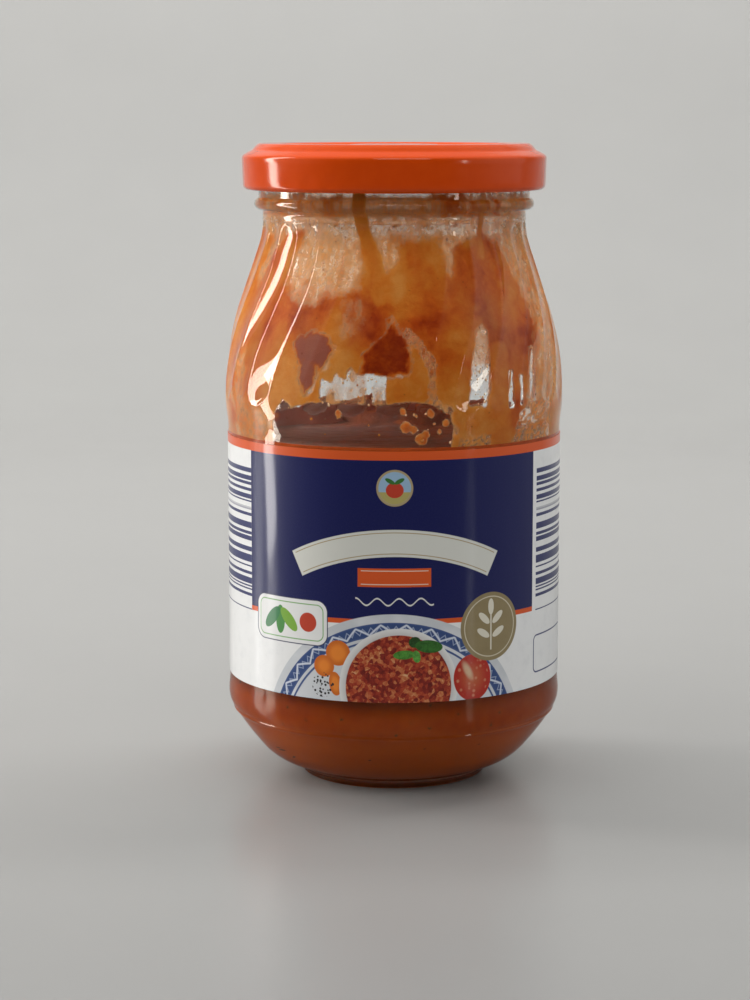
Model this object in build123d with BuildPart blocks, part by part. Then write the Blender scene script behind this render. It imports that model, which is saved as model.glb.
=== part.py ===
from build123d import *
import os
from math import sin, cos, radians

# Screw-lid sauce jar, partly used. Millimetres, +Z up, origin at the centre of
# the resting ring, front of the label towards -Y.
# Pieces: glass jar, pressed metal lid, tomato sauce filling, paper label sleeve.

# ---------------------------------------------------------------- overall sizes
foot_in_r = 18.2          # resting ring, inner radius
foot_out_r = 20.4         # resting ring, outer radius
foot_h = 2.3              # height of the clear foot band
foot_side = [(20.4, 0.0), (20.65, 0.45), (20.9, 1.35), (21.35, 1.95), (22.5, 2.3)]
pushup_h = 2.4            # rise of the outside base in its centre
heel = [(22.5, 2.3), (28.1, 5.0), (32.0, 9.2), (34.1, 12.0), (35.75, 14.45)]
mould_line = [(36.22, 14.95), (36.60, 15.35), (37.0, 16.6)]   # crease over the heel
low_ridge_r = 37.3        # proud ridge under the label
low_ridge_z = 19.0
panel_r = 37.05           # recessed straight wall that carries the label
panel_z0 = 22.6
panel_z1 = 78.4
high_ridge_r = 37.6       # widest ring above the label
high_ridge_z = 85.0

# shoulder: big outward arc, straight slope, hollow arc into the neck
shoulder_arc_r = 68.0
slope_deg = 18.7
neck_r = 29.1
neck_z = 124.3            # joint line under the bead
bead_r = 30.9
bead_z = 127.75
bead_half_h = 1.3
finish_r = 29.9           # mouth wall inside the lid
rim_z = 139.7
mouth_r = 26.6

# swirled flutes round the shoulder
flute_count = 28
flute_depth = 0.55
flute_phase = -44.5       # azimuth of one ridge at the top, from the front
twist_total = -15.5       # turn of the flutes from top to bottom
twist_z_top = 117.0
twist_span = 37.0
flute_fade = 5.0          # height over which the flutes die out at each end
ledge = 0.04              # the fluted zone sits this much inside the plain rings

# inside of the glass
floor_z_centre = 6.0
floor_z_ring = 4.0
floor_ring_r = 19.5
inner_r = 34.75           # inside radius behind the label

# sauce level and label
sauce_z = 78.0
label_z0 = 23.3
label_z1 = 77.2
label_t = 0.15

# lid
lid_r = 33.55             # wall radius near the top
lid_low_r = 33.35         # wall radius just above the rolled edge
lid_z0 = 130.7            # lowest point of the rolled edge
lid_wall_z = 137.6        # top of the straight wall
lid_top = 140.75          # top of the raised outer ring
lid_sheet = 0.5
curl_r = 1.15
ring_out_r = 30.2         # raised flat ring on top, outer radius
ring_in_r = 26.0
step_r = 31.9             # shoulder step round the raised ring
step_z = 139.0
panel_drop = 0.55         # sunk centre of the top
button_r = 11.0
button_rise = 0.4
liner_r0 = 26.2           # sealing compound ring under the top
liner_r1 = 30.2


def envelope(z):
    """Ridge radius of the shoulder at height z."""
    a = radians(slope_deg)
    z1 = high_ridge_z + shoulder_arc_r * sin(a)
    r1 = high_ridge_r - shoulder_arc_r * (1 - cos(a))
    if z <= z1:
        return high_ridge_r - shoulder_arc_r + (shoulder_arc_r ** 2 - (z - high_ridge_z) ** 2) ** 0.5
    # hollow arc ends upright at the neck
    drop = r1 - neck_r
    run = neck_z - z1
    hollow_r = (run * sin(a) / cos(a) - drop) / ((1 / cos(a)) - 1)
    z2 = neck_z - hollow_r * sin(a)
    if z <= z2:
        return r1 - (z - z1) * sin(a) / cos(a)
    return neck_r + hollow_r - (hollow_r ** 2 - (neck_z - z) ** 2) ** 0.5


def smooth(t):
    t = min(1.0, max(0.0, t))
    return t * t * (3 - 2 * t)


def twist(z):
    return twist_total * smooth((twist_z_top - z) / twist_span)


def depth(z):
    low = smooth((z - high_ridge_z) / flute_fade)
    high = smooth((neck_z - z) / flute_fade)
    return flute_depth * low * high


def on_wall(r, azimuth):
    """Point at azimuth degrees from the front, counted towards +X."""
    return (r * sin(radians(azimuth)), -r * cos(radians(azimuth)))


# ---------------------------------------------------------------- glass jar
sections = [85.0, 87.5, 90.0, 94.0, 99.0, 104.5, 110.0, 115.0, 119.3, 122.0, 124.3]
pitch = 360.0 / flute_count

with BuildPart() as jar:
    # foot, heel, ridge and label panel
    with BuildSketch(Plane.XZ) as lower:
        with BuildLine():
            ThreePointArc((0, pushup_h), (foot_in_r * 0.55, pushup_h * 0.72), (foot_in_r, 0))
            Line((foot_in_r, 0), (foot_out_r, 0))
            Spline(*foot_side)
            Spline(*heel, tangents=((cos(radians(22)), sin(radians(22))), (0.56, 0.83)))
            Spline(heel[-1], *mould_line, (low_ridge_r, low_ridge_z), tangents=((0.56, 0.83), (0, 1)))
            Spline((low_ridge_r, low_ridge_z), (panel_r, panel_z0), tangents=((0, 1), (0, 1)))
            Line((panel_r, panel_z0), (panel_r, panel_z1))
            Spline((panel_r, panel_z1), (high_ridge_r, high_ridge_z), tangents=((0, 1), (0, 1)))
            Line((high_ridge_r, high_ridge_z), (0, high_ridge_z))
            Line((0, high_ridge_z), (0, pushup_h))
        make_face()
    revolve(axis=Axis.Z)

    # fluted shoulder: scalloped rings, each turned a little further
    for z in sections:
        with BuildSketch(Plane.XY.offset(z)):
            with BuildLine():
                for i in range(flute_count):
                    a0 = flute_phase + twist(z) + i * pitch
                    r = envelope(z) - ledge
                    Spline(on_wall(r, a0), on_wall(r - depth(z), a0 + pitch / 2), on_wall(r, a0 + pitch))
            make_face()
    loft()

    # neck, bead and mouth wall
    with BuildSketch(Plane.XZ) as neck:
        with BuildLine():
            Line((0, neck_z), (neck_r, neck_z))
            Line((neck_r, neck_z), (neck_r, bead_z - bead_half_h))
            ThreePointArc((neck_r, bead_z - bead_half_h), (bead_r, bead_z), (finish_r, bead_z + bead_half_h))
            Line((finish_r, bead_z + bead_half_h), (finish_r, rim_z - 0.9))
            ThreePointArc((finish_r, rim_z - 0.9), (finish_r - 0.27, rim_z - 0.27), (finish_r - 0.9, rim_z))
            Line((finish_r - 0.9, rim_z), (mouth_r + 0.7, rim_z))
            ThreePointArc((mouth_r + 0.7, rim_z), (mouth_r + 0.2, rim_z - 0.2), (mouth_r, rim_z - 0.7))
            Line((mouth_r, rim_z - 0.7), (0, rim_z - 0.7))
            Line((0, rim_z - 0.7), (0, neck_z))
        make_face()
    revolve(axis=Axis.Z)

    # hollow inside
    with BuildSketch(Plane.XZ) as hollow:
        with BuildLine():
            ThreePointArc((0, floor_z_centre), (floor_ring_r * 0.55, floor_z_centre - 0.62), (floor_ring_r, floor_z_ring))
            Spline((floor_ring_r, floor_z_ring), (26.4, 6.7), (31.9, 12.6), (inner_r, 20.0), tangents=((1, 0.02), (0, 1)))
            Line((inner_r, 20.0), (inner_r, panel_z1 - 2))
            Spline((inner_r, panel_z1 - 2), (35.1, 86.0), (33.7, 100.0), (29.8, 112.0), (26.95, 121.0), (mouth_r, 126.0),
                   tangents=((0, 1), (0, 1)))
            Line((mouth_r, 126.0), (mouth_r, rim_z + 1))
            Line((mouth_r, rim_z + 1), (0, rim_z + 1))
            Line((0, rim_z + 1), (0, floor_z_centre))
        make_face()
    revolve(axis=Axis.Z, mode=Mode.SUBTRACT)

# ---------------------------------------------------------------- sauce filling
with BuildPart() as sauce:
    with BuildSketch(Plane.XZ):
        with BuildLine():
            ThreePointArc((0, floor_z_centre), (floor_ring_r * 0.55, floor_z_centre - 0.62), (floor_ring_r, floor_z_ring))
            Spline((floor_ring_r, floor_z_ring), (26.4, 6.7), (31.9, 12.6), (inner_r, 20.0), tangents=((1, 0.02), (0, 1)))
            Line((inner_r, 20.0), (inner_r, panel_z1 - 2))
            Spline((inner_r, panel_z1 - 2), (35.1, 86.0), (33.7, 100.0), (29.8, 112.0), (26.95, 121.0), (mouth_r, 126.0),
                   tangents=((0, 1), (0, 1)))
            Line((mouth_r, 126.0), (0, 126.0))
            Line((0, 126.0), (0, floor_z_centre))
        make_face()
    revolve(axis=Axis.Z)
    split(bisect_by=Plane.XY.offset(sauce_z), keep=Keep.BOTTOM)

# ---------------------------------------------------------------- paper label
with BuildPart() as label:
    with BuildSketch(Plane.XY.offset(label_z0)):
        Circle(panel_r + label_t)
        Circle(panel_r, mode=Mode.SUBTRACT)
    extrude(amount=label_z1 - label_z0)

# ---------------------------------------------------------------- metal lid
s = lid_sheet
with BuildPart() as lid:
    with BuildSketch(Plane.XZ):
        # pressed sheet seen in section, from the centre of the top outwards
        with BuildLine():
            top = lid_top
            sunk = top - panel_drop
            Line((0, sunk + button_rise), (button_r - 2.0, sunk + button_rise))
            Spline((button_r - 2.0, sunk + button_rise), (button_r, sunk), tangents=((1, 0), (1, 0)))
            Line((button_r, sunk), (ring_in_r - 1.6, sunk))
            Spline((ring_in_r - 1.6, sunk), (ring_in_r, top), tangents=((1, 0), (1, 0)))
            Line((ring_in_r, top), (ring_out_r - 0.6, top))
            Spline((ring_out_r - 0.6, top), (ring_out_r + 0.15, top - 0.45), (step_r - 0.55, step_z + 0.28),
                   (step_r + 0.15, step_z - 0.08), (lid_r, lid_wall_z), tangents=((1, 0), (0, -1)))
            Line((lid_r, lid_wall_z), (lid_low_r, lid_z0 + curl_r))
            ThreePointArc((lid_low_r, lid_z0 + curl_r), (lid_low_r - curl_r, lid_z0), (lid_low_r - 2 * curl_r, lid_z0 + curl_r))
            ThreePointArc((lid_low_r - 2 * curl_r, lid_z0 + curl_r),
                          (lid_low_r - 2 * curl_r + 0.5, lid_z0 + 1.9 * curl_r),
                          (lid_low_r - s, lid_z0 + 2 * curl_r + 0.25))
            Line((lid_low_r - s, lid_z0 + 2 * curl_r + 0.25), (lid_r - s, lid_wall_z - 0.1))
            Spline((lid_r - s, lid_wall_z - 0.1), (step_r - 0.4, step_z - s - 0.05), (liner_r1, step_z - 0.2),
                   tangents=((0, 1), (-1, 0.35)))
            Line((liner_r1, step_z - 0.2), (liner_r1 - 0.02, rim_z))
            Line((liner_r1 - 0.02, rim_z), (liner_r0, rim_z))
            Line((liner_r0, rim_z), (liner_r0 - 0.8, sunk - s))
            Line((liner_r0 - 0.8, sunk - s), (0, sunk - s))
            Line((0, sunk - s), (0, sunk + button_rise))
        make_face()
    revolve(axis=Axis.Z)

os.makedirs("parts", exist_ok=True)
jar.part.label = "jar"
export_step(jar.part, "parts/jar.step")
sauce.part.label = "sauce"
export_step(sauce.part, "parts/sauce.step")
label.part.label = "label"
export_step(label.part, "parts/label.step")
lid.part.label = "lid"
export_step(lid.part, "parts/lid.step")
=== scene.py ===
import bpy, math
import numpy as np
from mathutils import Matrix, Vector


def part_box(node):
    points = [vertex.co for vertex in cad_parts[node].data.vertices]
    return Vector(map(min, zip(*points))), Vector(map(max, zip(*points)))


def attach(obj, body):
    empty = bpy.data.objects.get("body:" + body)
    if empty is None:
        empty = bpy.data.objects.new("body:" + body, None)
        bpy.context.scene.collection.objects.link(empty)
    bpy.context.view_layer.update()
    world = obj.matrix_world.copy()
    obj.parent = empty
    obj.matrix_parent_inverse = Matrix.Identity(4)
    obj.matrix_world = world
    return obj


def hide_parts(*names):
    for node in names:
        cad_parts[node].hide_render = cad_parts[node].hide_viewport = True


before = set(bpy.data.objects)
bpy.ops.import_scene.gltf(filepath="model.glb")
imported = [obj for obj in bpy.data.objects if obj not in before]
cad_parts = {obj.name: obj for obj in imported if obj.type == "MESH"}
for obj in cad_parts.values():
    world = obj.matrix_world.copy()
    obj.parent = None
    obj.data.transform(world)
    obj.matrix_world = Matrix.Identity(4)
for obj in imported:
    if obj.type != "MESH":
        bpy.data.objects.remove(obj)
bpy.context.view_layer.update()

MM = 0.001
PI = math.pi

# ------------------------------------------------------------------ sizes (mm)
jar_lo, jar_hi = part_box("jar")
lid_lo, lid_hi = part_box("lid")
sauce_lo, sauce_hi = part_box("sauce")
label_lo, label_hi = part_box("label")
RIM_Z = jar_hi.z * 1000
HIGH_R = jar_hi.x * 1000            # widest ring of the glass
LABEL_Z0, LABEL_Z1 = label_lo.z * 1000, label_hi.z * 1000
LABEL_R = label_hi.x * 1000
LID_R, LID_Z0, LID_TOP = lid_hi.x * 1000, lid_lo.z * 1000, lid_hi.z * 1000
SAUCE_Z = sauce_hi.z * 1000

PUSHUP = 2.4
FOOT_IN, FOOT_OUT, FOOT_H = 18.2, 20.4, 2.3
LOW_R, LOW_Z = 37.3, 19.0
PANEL_R, PANEL_Z0, PANEL_Z1 = 37.05, 22.6, 78.4
HIGH_Z = 85.0
ARC_R, SLOPE = 68.0, math.radians(18.7)
NECK_R, NECK_Z = 29.1, 124.3
BEAD_R, BEAD_Z, BEAD_H = 30.9, 127.75, 1.3
FINISH_R, MOUTH_R = 29.9, 26.6
INNER_R = 34.75
FLUTES, PHASE, TWIST, DEPTH = 28, -44.5, -15.5, 0.55


# ------------------------------------------------------------------ small maths
def smooth(t):
    t = np.clip(t, 0.0, 1.0)
    return t * t * (3 - 2 * t)


def hashed(ix, iy, iz, seed):
    h = (ix.astype(np.uint64) * np.uint64(73856093)) ^ (iy.astype(np.uint64) * np.uint64(19349663)) ^ (iz.astype(np.uint64) * np.uint64(83492791)) ^ np.uint64(seed * 2654435761 + 97)
    h = h & np.uint64(0xFFFFFFFF)
    h = (h ^ (h >> np.uint64(15))) * np.uint64(2246822519) & np.uint64(0xFFFFFFFF)
    h = (h ^ (h >> np.uint64(13))) * np.uint64(3266489917) & np.uint64(0xFFFFFFFF)
    h = h ^ (h >> np.uint64(16))
    return h.astype(np.float64) / 4294967295.0 * 2 - 1


def noise3(P, seed=1):
    """Smooth value noise in -1..1 at points P (n, 3)."""
    i = np.floor(P)
    f = P - i
    u = f * f * f * (f * (f * 6 - 15) + 10)
    i = i.astype(np.int64) + 100000
    out = np.zeros(len(P))
    for dx in (0, 1):
        wx = u[:, 0] if dx else 1 - u[:, 0]
        for dy in (0, 1):
            wy = u[:, 1] if dy else 1 - u[:, 1]
            for dz in (0, 1):
                wz = u[:, 2] if dz else 1 - u[:, 2]
                out += wx * wy * wz * hashed(i[:, 0] + dx, i[:, 1] + dy, i[:, 2] + dz, seed)
    return out


def fbm(P, scale, octaves=4, seed=1, gain=0.5):
    out, amp, total = np.zeros(len(P)), 1.0, 0.0
    for k in range(octaves):
        out += amp * noise3(P / scale * (2.03 ** k) + 17.3 * k, seed + k)
        total += amp
        amp *= gain
    return out / total


def hermite(points, tan0=None, tan1=None, n=10):
    """Smooth curve through points, with optional end directions; n samples per span, last point included."""
    p = np.array(points, float)
    d = np.zeros_like(p)
    ch = np.linalg.norm(np.diff(p, axis=0), axis=1)
    for k in range(1, len(p) - 1):
        a, b = (p[k] - p[k - 1]) / ch[k - 1], (p[k + 1] - p[k]) / ch[k]
        d[k] = (a * ch[k] + b * ch[k - 1]) / (ch[k] + ch[k - 1])
    d[0] = (p[1] - p[0]) / ch[0] if tan0 is None else np.array(tan0, float) / np.linalg.norm(tan0)
    d[-1] = (p[-1] - p[-2]) / ch[-1] if tan1 is None else np.array(tan1, float) / np.linalg.norm(tan1)
    out = []
    for k in range(len(p) - 1):
        t = np.linspace(0, 1, n, endpoint=False)[:, None]
        h = ch[k]
        out.append((2 * t**3 - 3 * t**2 + 1) * p[k] + (t**3 - 2 * t**2 + t) * h * d[k] + (-2 * t**3 + 3 * t**2) * p[k + 1] + (t**3 - t**2) * h * d[k + 1])
    out.append(p[-1:])
    return np.vstack(out)


def arc3(a, b, c, n=12):
    """Circle through three points, n samples from a to c."""
    (ax, ay), (bx, by), (cx, cy) = a, b, c
    d = 2 * (ax * (by - cy) + bx * (cy - ay) + cx * (ay - by))
    ux = ((ax * ax + ay * ay) * (by - cy) + (bx * bx + by * by) * (cy - ay) + (cx * cx + cy * cy) * (ay - by)) / d
    uy = ((ax * ax + ay * ay) * (cx - bx) + (bx * bx + by * by) * (ax - cx) + (cx * cx + cy * cy) * (bx - ax)) / d
    r = math.hypot(ax - ux, ay - uy)
    t0, t1, t2 = (math.atan2(y - uy, x - ux) for x, y in (a, b, c))
    def unwrap(t, ref, up):
        while up and t < ref: t += 2 * PI
        while not up and t > ref: t -= 2 * PI
        return t
    up = ((t1 - t0) % (2 * PI)) < ((t2 - t0) % (2 * PI))
    t2 = unwrap(t2, t0, up)
    t = np.linspace(t0, t2, n)
    return np.stack([ux + r * np.cos(t), uy + r * np.sin(t)], 1)


def envelope(z):
    z = np.asarray(z, float)
    z1 = HIGH_Z + ARC_R * math.sin(SLOPE)
    r1 = HIGH_R - ARC_R * (1 - math.cos(SLOPE))
    run, drop = NECK_Z - z1, r1 - NECK_R
    hollow = (run * math.tan(SLOPE) - drop) / (1 / math.cos(SLOPE) - 1)
    z2 = NECK_Z - hollow * math.sin(SLOPE)
    a = HIGH_R - ARC_R + np.sqrt(np.maximum(ARC_R**2 - (np.clip(z, HIGH_Z, z1) - HIGH_Z) ** 2, 0))
    b = r1 - (z - z1) * math.tan(SLOPE)
    c = NECK_R + hollow - np.sqrt(np.maximum(hollow**2 - (NECK_Z - np.minimum(z, NECK_Z)) ** 2, 0))
    return np.where(z <= z1, a, np.where(z <= z2, b, c))


def twist(z):
    return TWIST * smooth((117.0 - np.asarray(z, float)) / 37.0)


_inner = np.vstack([
    arc3((0.01, 6.0), (10.7, 5.38), (19.5, 4.0), 10)[:-1],
    hermite([(19.5, 4.0), (26.4, 6.7), (31.9, 12.6), (INNER_R, 20.0)], (1, 0.02), (0, 1), 7)[:-1],
    [(INNER_R, 20.0), (INNER_R, 48.0)],
    hermite([(INNER_R, PANEL_Z1 - 2), (35.1, 86.0), (33.7, 100.0), (29.8, 112.0), (26.95, 121.0), (MOUTH_R, 126.0)], (0, 1), (0, 1), 5)[:-1],
    [(MOUTH_R, 126.0), (MOUTH_R, 132.0), (MOUTH_R, RIM_Z - 0.7)],
])


def inner_radius(z):
    k = _inner[:, 1] >= 6.9
    pr = _inner[k]
    return np.interp(z, pr[:, 1], pr[:, 0])


# ------------------------------------------------------------------ mesh making
def make_mesh(name, V, quads=None, tris=None, attrs=None, smooth_shade=True, sharp=0):
    quads = np.zeros((0, 4), int) if quads is None or not len(quads) else np.asarray(quads, int)
    tris = np.zeros((0, 3), int) if tris is None or not len(tris) else np.asarray(tris, int)
    me = bpy.data.meshes.new(name)
    V = np.asarray(V, float) * MM
    me.vertices.add(len(V))
    me.vertices.foreach_set("co", V.astype(np.float32).ravel())
    loops = np.concatenate([quads.ravel(), tris.ravel()])
    starts = np.concatenate([np.arange(len(quads)) * 4, len(quads) * 4 + np.arange(len(tris)) * 3])
    totals = np.concatenate([np.full(len(quads), 4), np.full(len(tris), 3)])
    me.loops.add(len(loops))
    me.loops.foreach_set("vertex_index", loops.astype(np.int32))
    me.polygons.add(len(starts))
    me.polygons.foreach_set("loop_start", starts.astype(np.int32))
    me.polygons.foreach_set("loop_total", totals.astype(np.int32))
    me.polygons.foreach_set("use_smooth", np.full(len(starts), smooth_shade))
    me.update(calc_edges=True)
    for key, val in (attrs or {}).items():
        a = me.attributes.new(key, "FLOAT", "POINT")
        a.data.foreach_set("value", np.asarray(val, np.float32))
    me.validate()
    if sharp:
        me.set_sharp_from_angle(angle=math.radians(sharp))
    ob = bpy.data.objects.new(name, me)
    bpy.context.scene.collection.objects.link(ob)
    return ob


def ring_quads(nr, nc, off=0):
    i, j = np.meshgrid(np.arange(nr - 1), np.arange(nc), indexing="ij")
    j2 = (j + 1) % nc
    q = np.stack([i * nc + j, i * nc + j2, (i + 1) * nc + j2, (i + 1) * nc + j], -1).reshape(-1, 4)
    return q + off


def lathe(name, section, nc=256, theta=None, bump=None, pole_start=True, pole_end=True, closed=False, attrs=None):
    """Turns a section (r, z) into a closed mesh. theta: (rows, cols) angles in degrees from the front."""
    S = np.asarray(section, float)
    z0, z1 = S[0, 1], S[-1, 1]
    if theta is None:
        theta = np.tile(np.arange(nc) * 360.0 / nc, (len(S), 1))
    nc = theta.shape[1]
    t = np.radians(theta)
    R = np.tile(S[:, :1], (1, nc))
    Z = np.tile(S[:, 1:2], (1, nc))
    if bump is not None:
        R, Z = bump(R, Z, theta)
    V = np.stack([R * np.sin(t), -R * np.cos(t), Z], -1).reshape(-1, 3)
    Q = ring_quads(len(S), nc)
    T = []
    n = len(V)
    j = np.arange(nc)
    j2 = (j + 1) % nc
    if closed:
        Q = np.vstack([Q, np.stack([(len(S) - 1) * nc + j, (len(S) - 1) * nc + j2, j2, j], -1)])
    else:
        V = np.vstack([V, [[0, 0, Z[0].mean()]], [[0, 0, Z[-1].mean()]]])
        T.append(np.stack([np.full(nc, n), j2, j], -1))
        T.append(np.stack([(len(S) - 1) * nc + j, (len(S) - 1) * nc + j2, np.full(nc, n + 1)], -1))
    return make_mesh(name, V, Q, np.vstack(T) if T else None, attrs)


# ------------------------------------------------------------------ node helper
class Tree:
    def __init__(self, name):
        self.mat = bpy.data.materials.new(name)
        self.mat.use_nodes = True
        self.nt = self.mat.node_tree
        self.nt.nodes.clear()
        self.out = self.nt.nodes.new("ShaderNodeOutputMaterial")

    def new(self, kind, **props):
        n = self.nt.nodes.new(kind)
        for k, v in props.items():
            setattr(n, k, v)
        return n

    def put(self, sock, v):
        if isinstance(v, bpy.types.NodeSocket):
            self.nt.links.new(v, sock)
        elif isinstance(v, (tuple, list)) and len(v) == 3 and sock.type == "RGBA":
            sock.default_value = (*v, 1.0)
        else:
            sock.default_value = v

    def m(self, op, a, b=None, c=None, clamp=False):
        n = self.new("ShaderNodeMath", operation=op, use_clamp=clamp)
        self.put(n.inputs[0], a)
        if b is not None:
            self.put(n.inputs[1], b)
        if c is not None:
            self.put(n.inputs[2], c)
        return n.outputs[0]

    def add(self, a, b): return self.m("ADD", a, b)
    def sub(self, a, b): return self.m("SUBTRACT", a, b)
    def mul(self, a, b): return self.m("MULTIPLY", a, b)
    def mx(self, a, b): return self.m("MAXIMUM", a, b)
    def mn(self, a, b): return self.m("MINIMUM", a, b)
    def ab(self, a): return self.m("ABSOLUTE", a)

    def hyp(self, a, b):
        return self.m("SQRT", self.add(self.mul(a, a), self.mul(b, b)))

    def edge(self, d, aa=0.09):
        """1 inside (d < 0), 0 outside, soft over aa mm."""
        return self.m("MULTIPLY_ADD", d, -1.0 / aa, 0.5, clamp=True)

    def ramp01(self, v, lo, hi, to0=0.0, to1=1.0, kind="SMOOTHSTEP"):
        n = self.new("ShaderNodeMapRange", interpolation_type=kind, clamp=True) if kind != "LINEAR" else self.new("ShaderNodeMapRange", clamp=True)
        self.put(n.inputs[0], v)
        n.inputs[1].default_value, n.inputs[2].default_value = lo, hi
        n.inputs[3].default_value, n.inputs[4].default_value = to0, to1
        return n.outputs[0]

    def mix(self, f, a, b):
        n = self.new("ShaderNodeMix", data_type="RGBA")
        self.put(n.inputs[0], f)
        self.put(n.inputs[6], a)
        self.put(n.inputs[7], b)
        return n.outputs[2]

    def mixf(self, f, a, b):
        n = self.new("ShaderNodeMix", data_type="FLOAT")
        self.put(n.inputs[0], f)
        self.put(n.inputs[2], a)
        self.put(n.inputs[3], b)
        return n.outputs[0]

    def colours(self, f, stops, kind="LINEAR"):
        n = self.new("ShaderNodeValToRGB")
        n.color_ramp.interpolation = kind
        e = n.color_ramp.elements
        while len(e) < len(stops):
            e.new(0.5)
        for k, (pos, col) in enumerate(stops):
            e[k].position = pos
            e[k].color = (*col, 1.0)
        self.put(n.inputs[0], f)
        return n.outputs[0]

    def obj(self, scale=1000.0):
        """Object coordinates in mm."""
        tc = self.new("ShaderNodeTexCoord")
        v = self.new("ShaderNodeVectorMath", operation="SCALE")
        self.nt.links.new(tc.outputs["Object"], v.inputs[0])
        v.inputs["Scale"].default_value = scale
        return v.outputs[0]

    def stretch(self, vec, sx, sy, sz):
        v = self.new("ShaderNodeVectorMath", operation="MULTIPLY")
        self.nt.links.new(vec, v.inputs[0])
        v.inputs[1].default_value = (sx, sy, sz)
        return v.outputs[0]

    def noise(self, vec, scale, detail=3.0, rough=0.55, distort=0.0):
        n = self.new("ShaderNodeTexNoise")
        self.nt.links.new(vec, n.inputs["Vector"])
        n.inputs["Scale"].default_value = scale
        n.inputs["Detail"].default_value = detail
        n.inputs["Roughness"].default_value = rough
        n.inputs["Distortion"].default_value = distort
        return n.outputs[0]

    def voronoi(self, vec, scale, feature="F1", rand=1.0, out="Distance"):
        n = self.new("ShaderNodeTexVoronoi", feature=feature)
        self.nt.links.new(vec, n.inputs["Vector"])
        n.inputs["Scale"].default_value = scale
        n.inputs["Randomness"].default_value = rand
        return n.outputs[out]

    def bump(self, height, strength=0.3, dist=0.0001, normal=None):
        n = self.new("ShaderNodeBump")
        n.inputs["Strength"].default_value = strength
        n.inputs["Distance"].default_value = dist
        self.put(n.inputs["Height"], height)
        if normal is not None:
            self.nt.links.new(normal, n.inputs["Normal"])
        return n.outputs[0]

    def bsdf(self, **kw):
        n = self.new("ShaderNodeBsdfPrincipled")
        for k, v in kw.items():
            self.put(n.inputs[k.replace("_", " ")], v)
        return n

    def finish(self, shader):
        self.nt.links.new(shader, self.out.inputs["Surface"])
        return self.mat


def assign(ob, mat):
    ob.data.materials.clear()
    ob.data.materials.append(mat)


# ================================================================== geometry
# ---- glass jar
cols_u = np.array([0.0, 0.038, 0.08, 0.132, 0.195, 0.27, 0.345, 0.42, 0.5, 0.58, 0.655, 0.73, 0.805, 0.868, 0.92, 0.962])
pitch = 360.0 / FLUTES
base_theta = np.concatenate([PHASE + (k + cols_u) * pitch for k in range(FLUTES)])

outer_low = np.vstack([
    arc3((0.01, PUSHUP), (FOOT_IN * 0.55, PUSHUP * 0.72), (FOOT_IN - 0.5, 0.22), 9)[1:],
    [(FOOT_IN - 0.12, 0.05), (FOOT_IN + 0.3, 0.0), (FOOT_OUT - 0.45, 0.0), (FOOT_OUT - 0.1, 0.05), (FOOT_OUT + 0.15, 0.22)],
    hermite([(FOOT_OUT + 0.25, 0.45), (FOOT_OUT + 0.5, 1.35), (FOOT_OUT + 0.95, 1.95), (FOOT_OUT + 2.1, FOOT_H)], (0.15, 1), (math.cos(0.38), math.sin(0.38)), 4)[:-1],
    hermite([(FOOT_OUT + 2.1, FOOT_H), (28.1, 5.0), (32.0, 9.2), (34.1, 12.0), (35.75, 14.45)], (math.cos(0.38), math.sin(0.38)), (0.56, 0.83), 6)[:-1],
    [(35.75, 14.45), (35.95, 14.60), (36.13, 14.74), (36.26, 14.88), (36.31, 15.02), (36.27, 15.16), (36.21, 15.30)],      # thin bead of glass left at the mould line
    hermite([(36.24, 15.46), (36.60, 16.0), (37.0, 16.9), (LOW_R, LOW_Z)], (0.2, 1), (0, 1), 5)[:-1],
    hermite([(LOW_R, LOW_Z), (PANEL_R, PANEL_Z0)], (0, 1), (0, 1), 6)[:-1],
    [(PANEL_R, PANEL_Z0), (PANEL_R, 50.0)],
    hermite([(PANEL_R, PANEL_Z1), (HIGH_R, HIGH_Z)], (0, 1), (0, 1), 9)[:-1],
])
fl_z = np.concatenate([np.arange(85.0, 90.0, 0.42), np.arange(90.0, 119.5, 1.25), np.arange(119.5, 124.0, 0.42), [124.0]])
outer_fl = np.stack([envelope(fl_z), fl_z], 1)
outer_top = np.vstack([
    [(NECK_R, 124.15), (NECK_R + 0.10, 124.3), (NECK_R + 0.10, 124.42), (NECK_R, 124.58), (NECK_R, 125.6)],
    arc3((NECK_R + 0.02, BEAD_Z - BEAD_H), (BEAD_R, BEAD_Z), (FINISH_R + 0.02, BEAD_Z + BEAD_H), 11),
    [(FINISH_R, BEAD_Z + BEAD_H + 0.25), (FINISH_R, 133.0), (FINISH_R, RIM_Z - 0.9), (FINISH_R - 0.27, RIM_Z - 0.27), (FINISH_R - 0.9, RIM_Z)],
    [(MOUTH_R + 0.7, RIM_Z), (MOUTH_R + 0.2, RIM_Z - 0.2)],
])
section = np.vstack([outer_low, outer_fl, outer_top, _inner[::-1][:-1]])
n_out = len(outer_low) + len(outer_fl) + len(outer_top)
theta = base_theta[None, :] + np.where(np.arange(len(section))[:, None] < n_out, twist(section[:, 1:2]), twist(section[:, 1:2]))
H0, H1 = 85.2, 124.0


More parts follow.
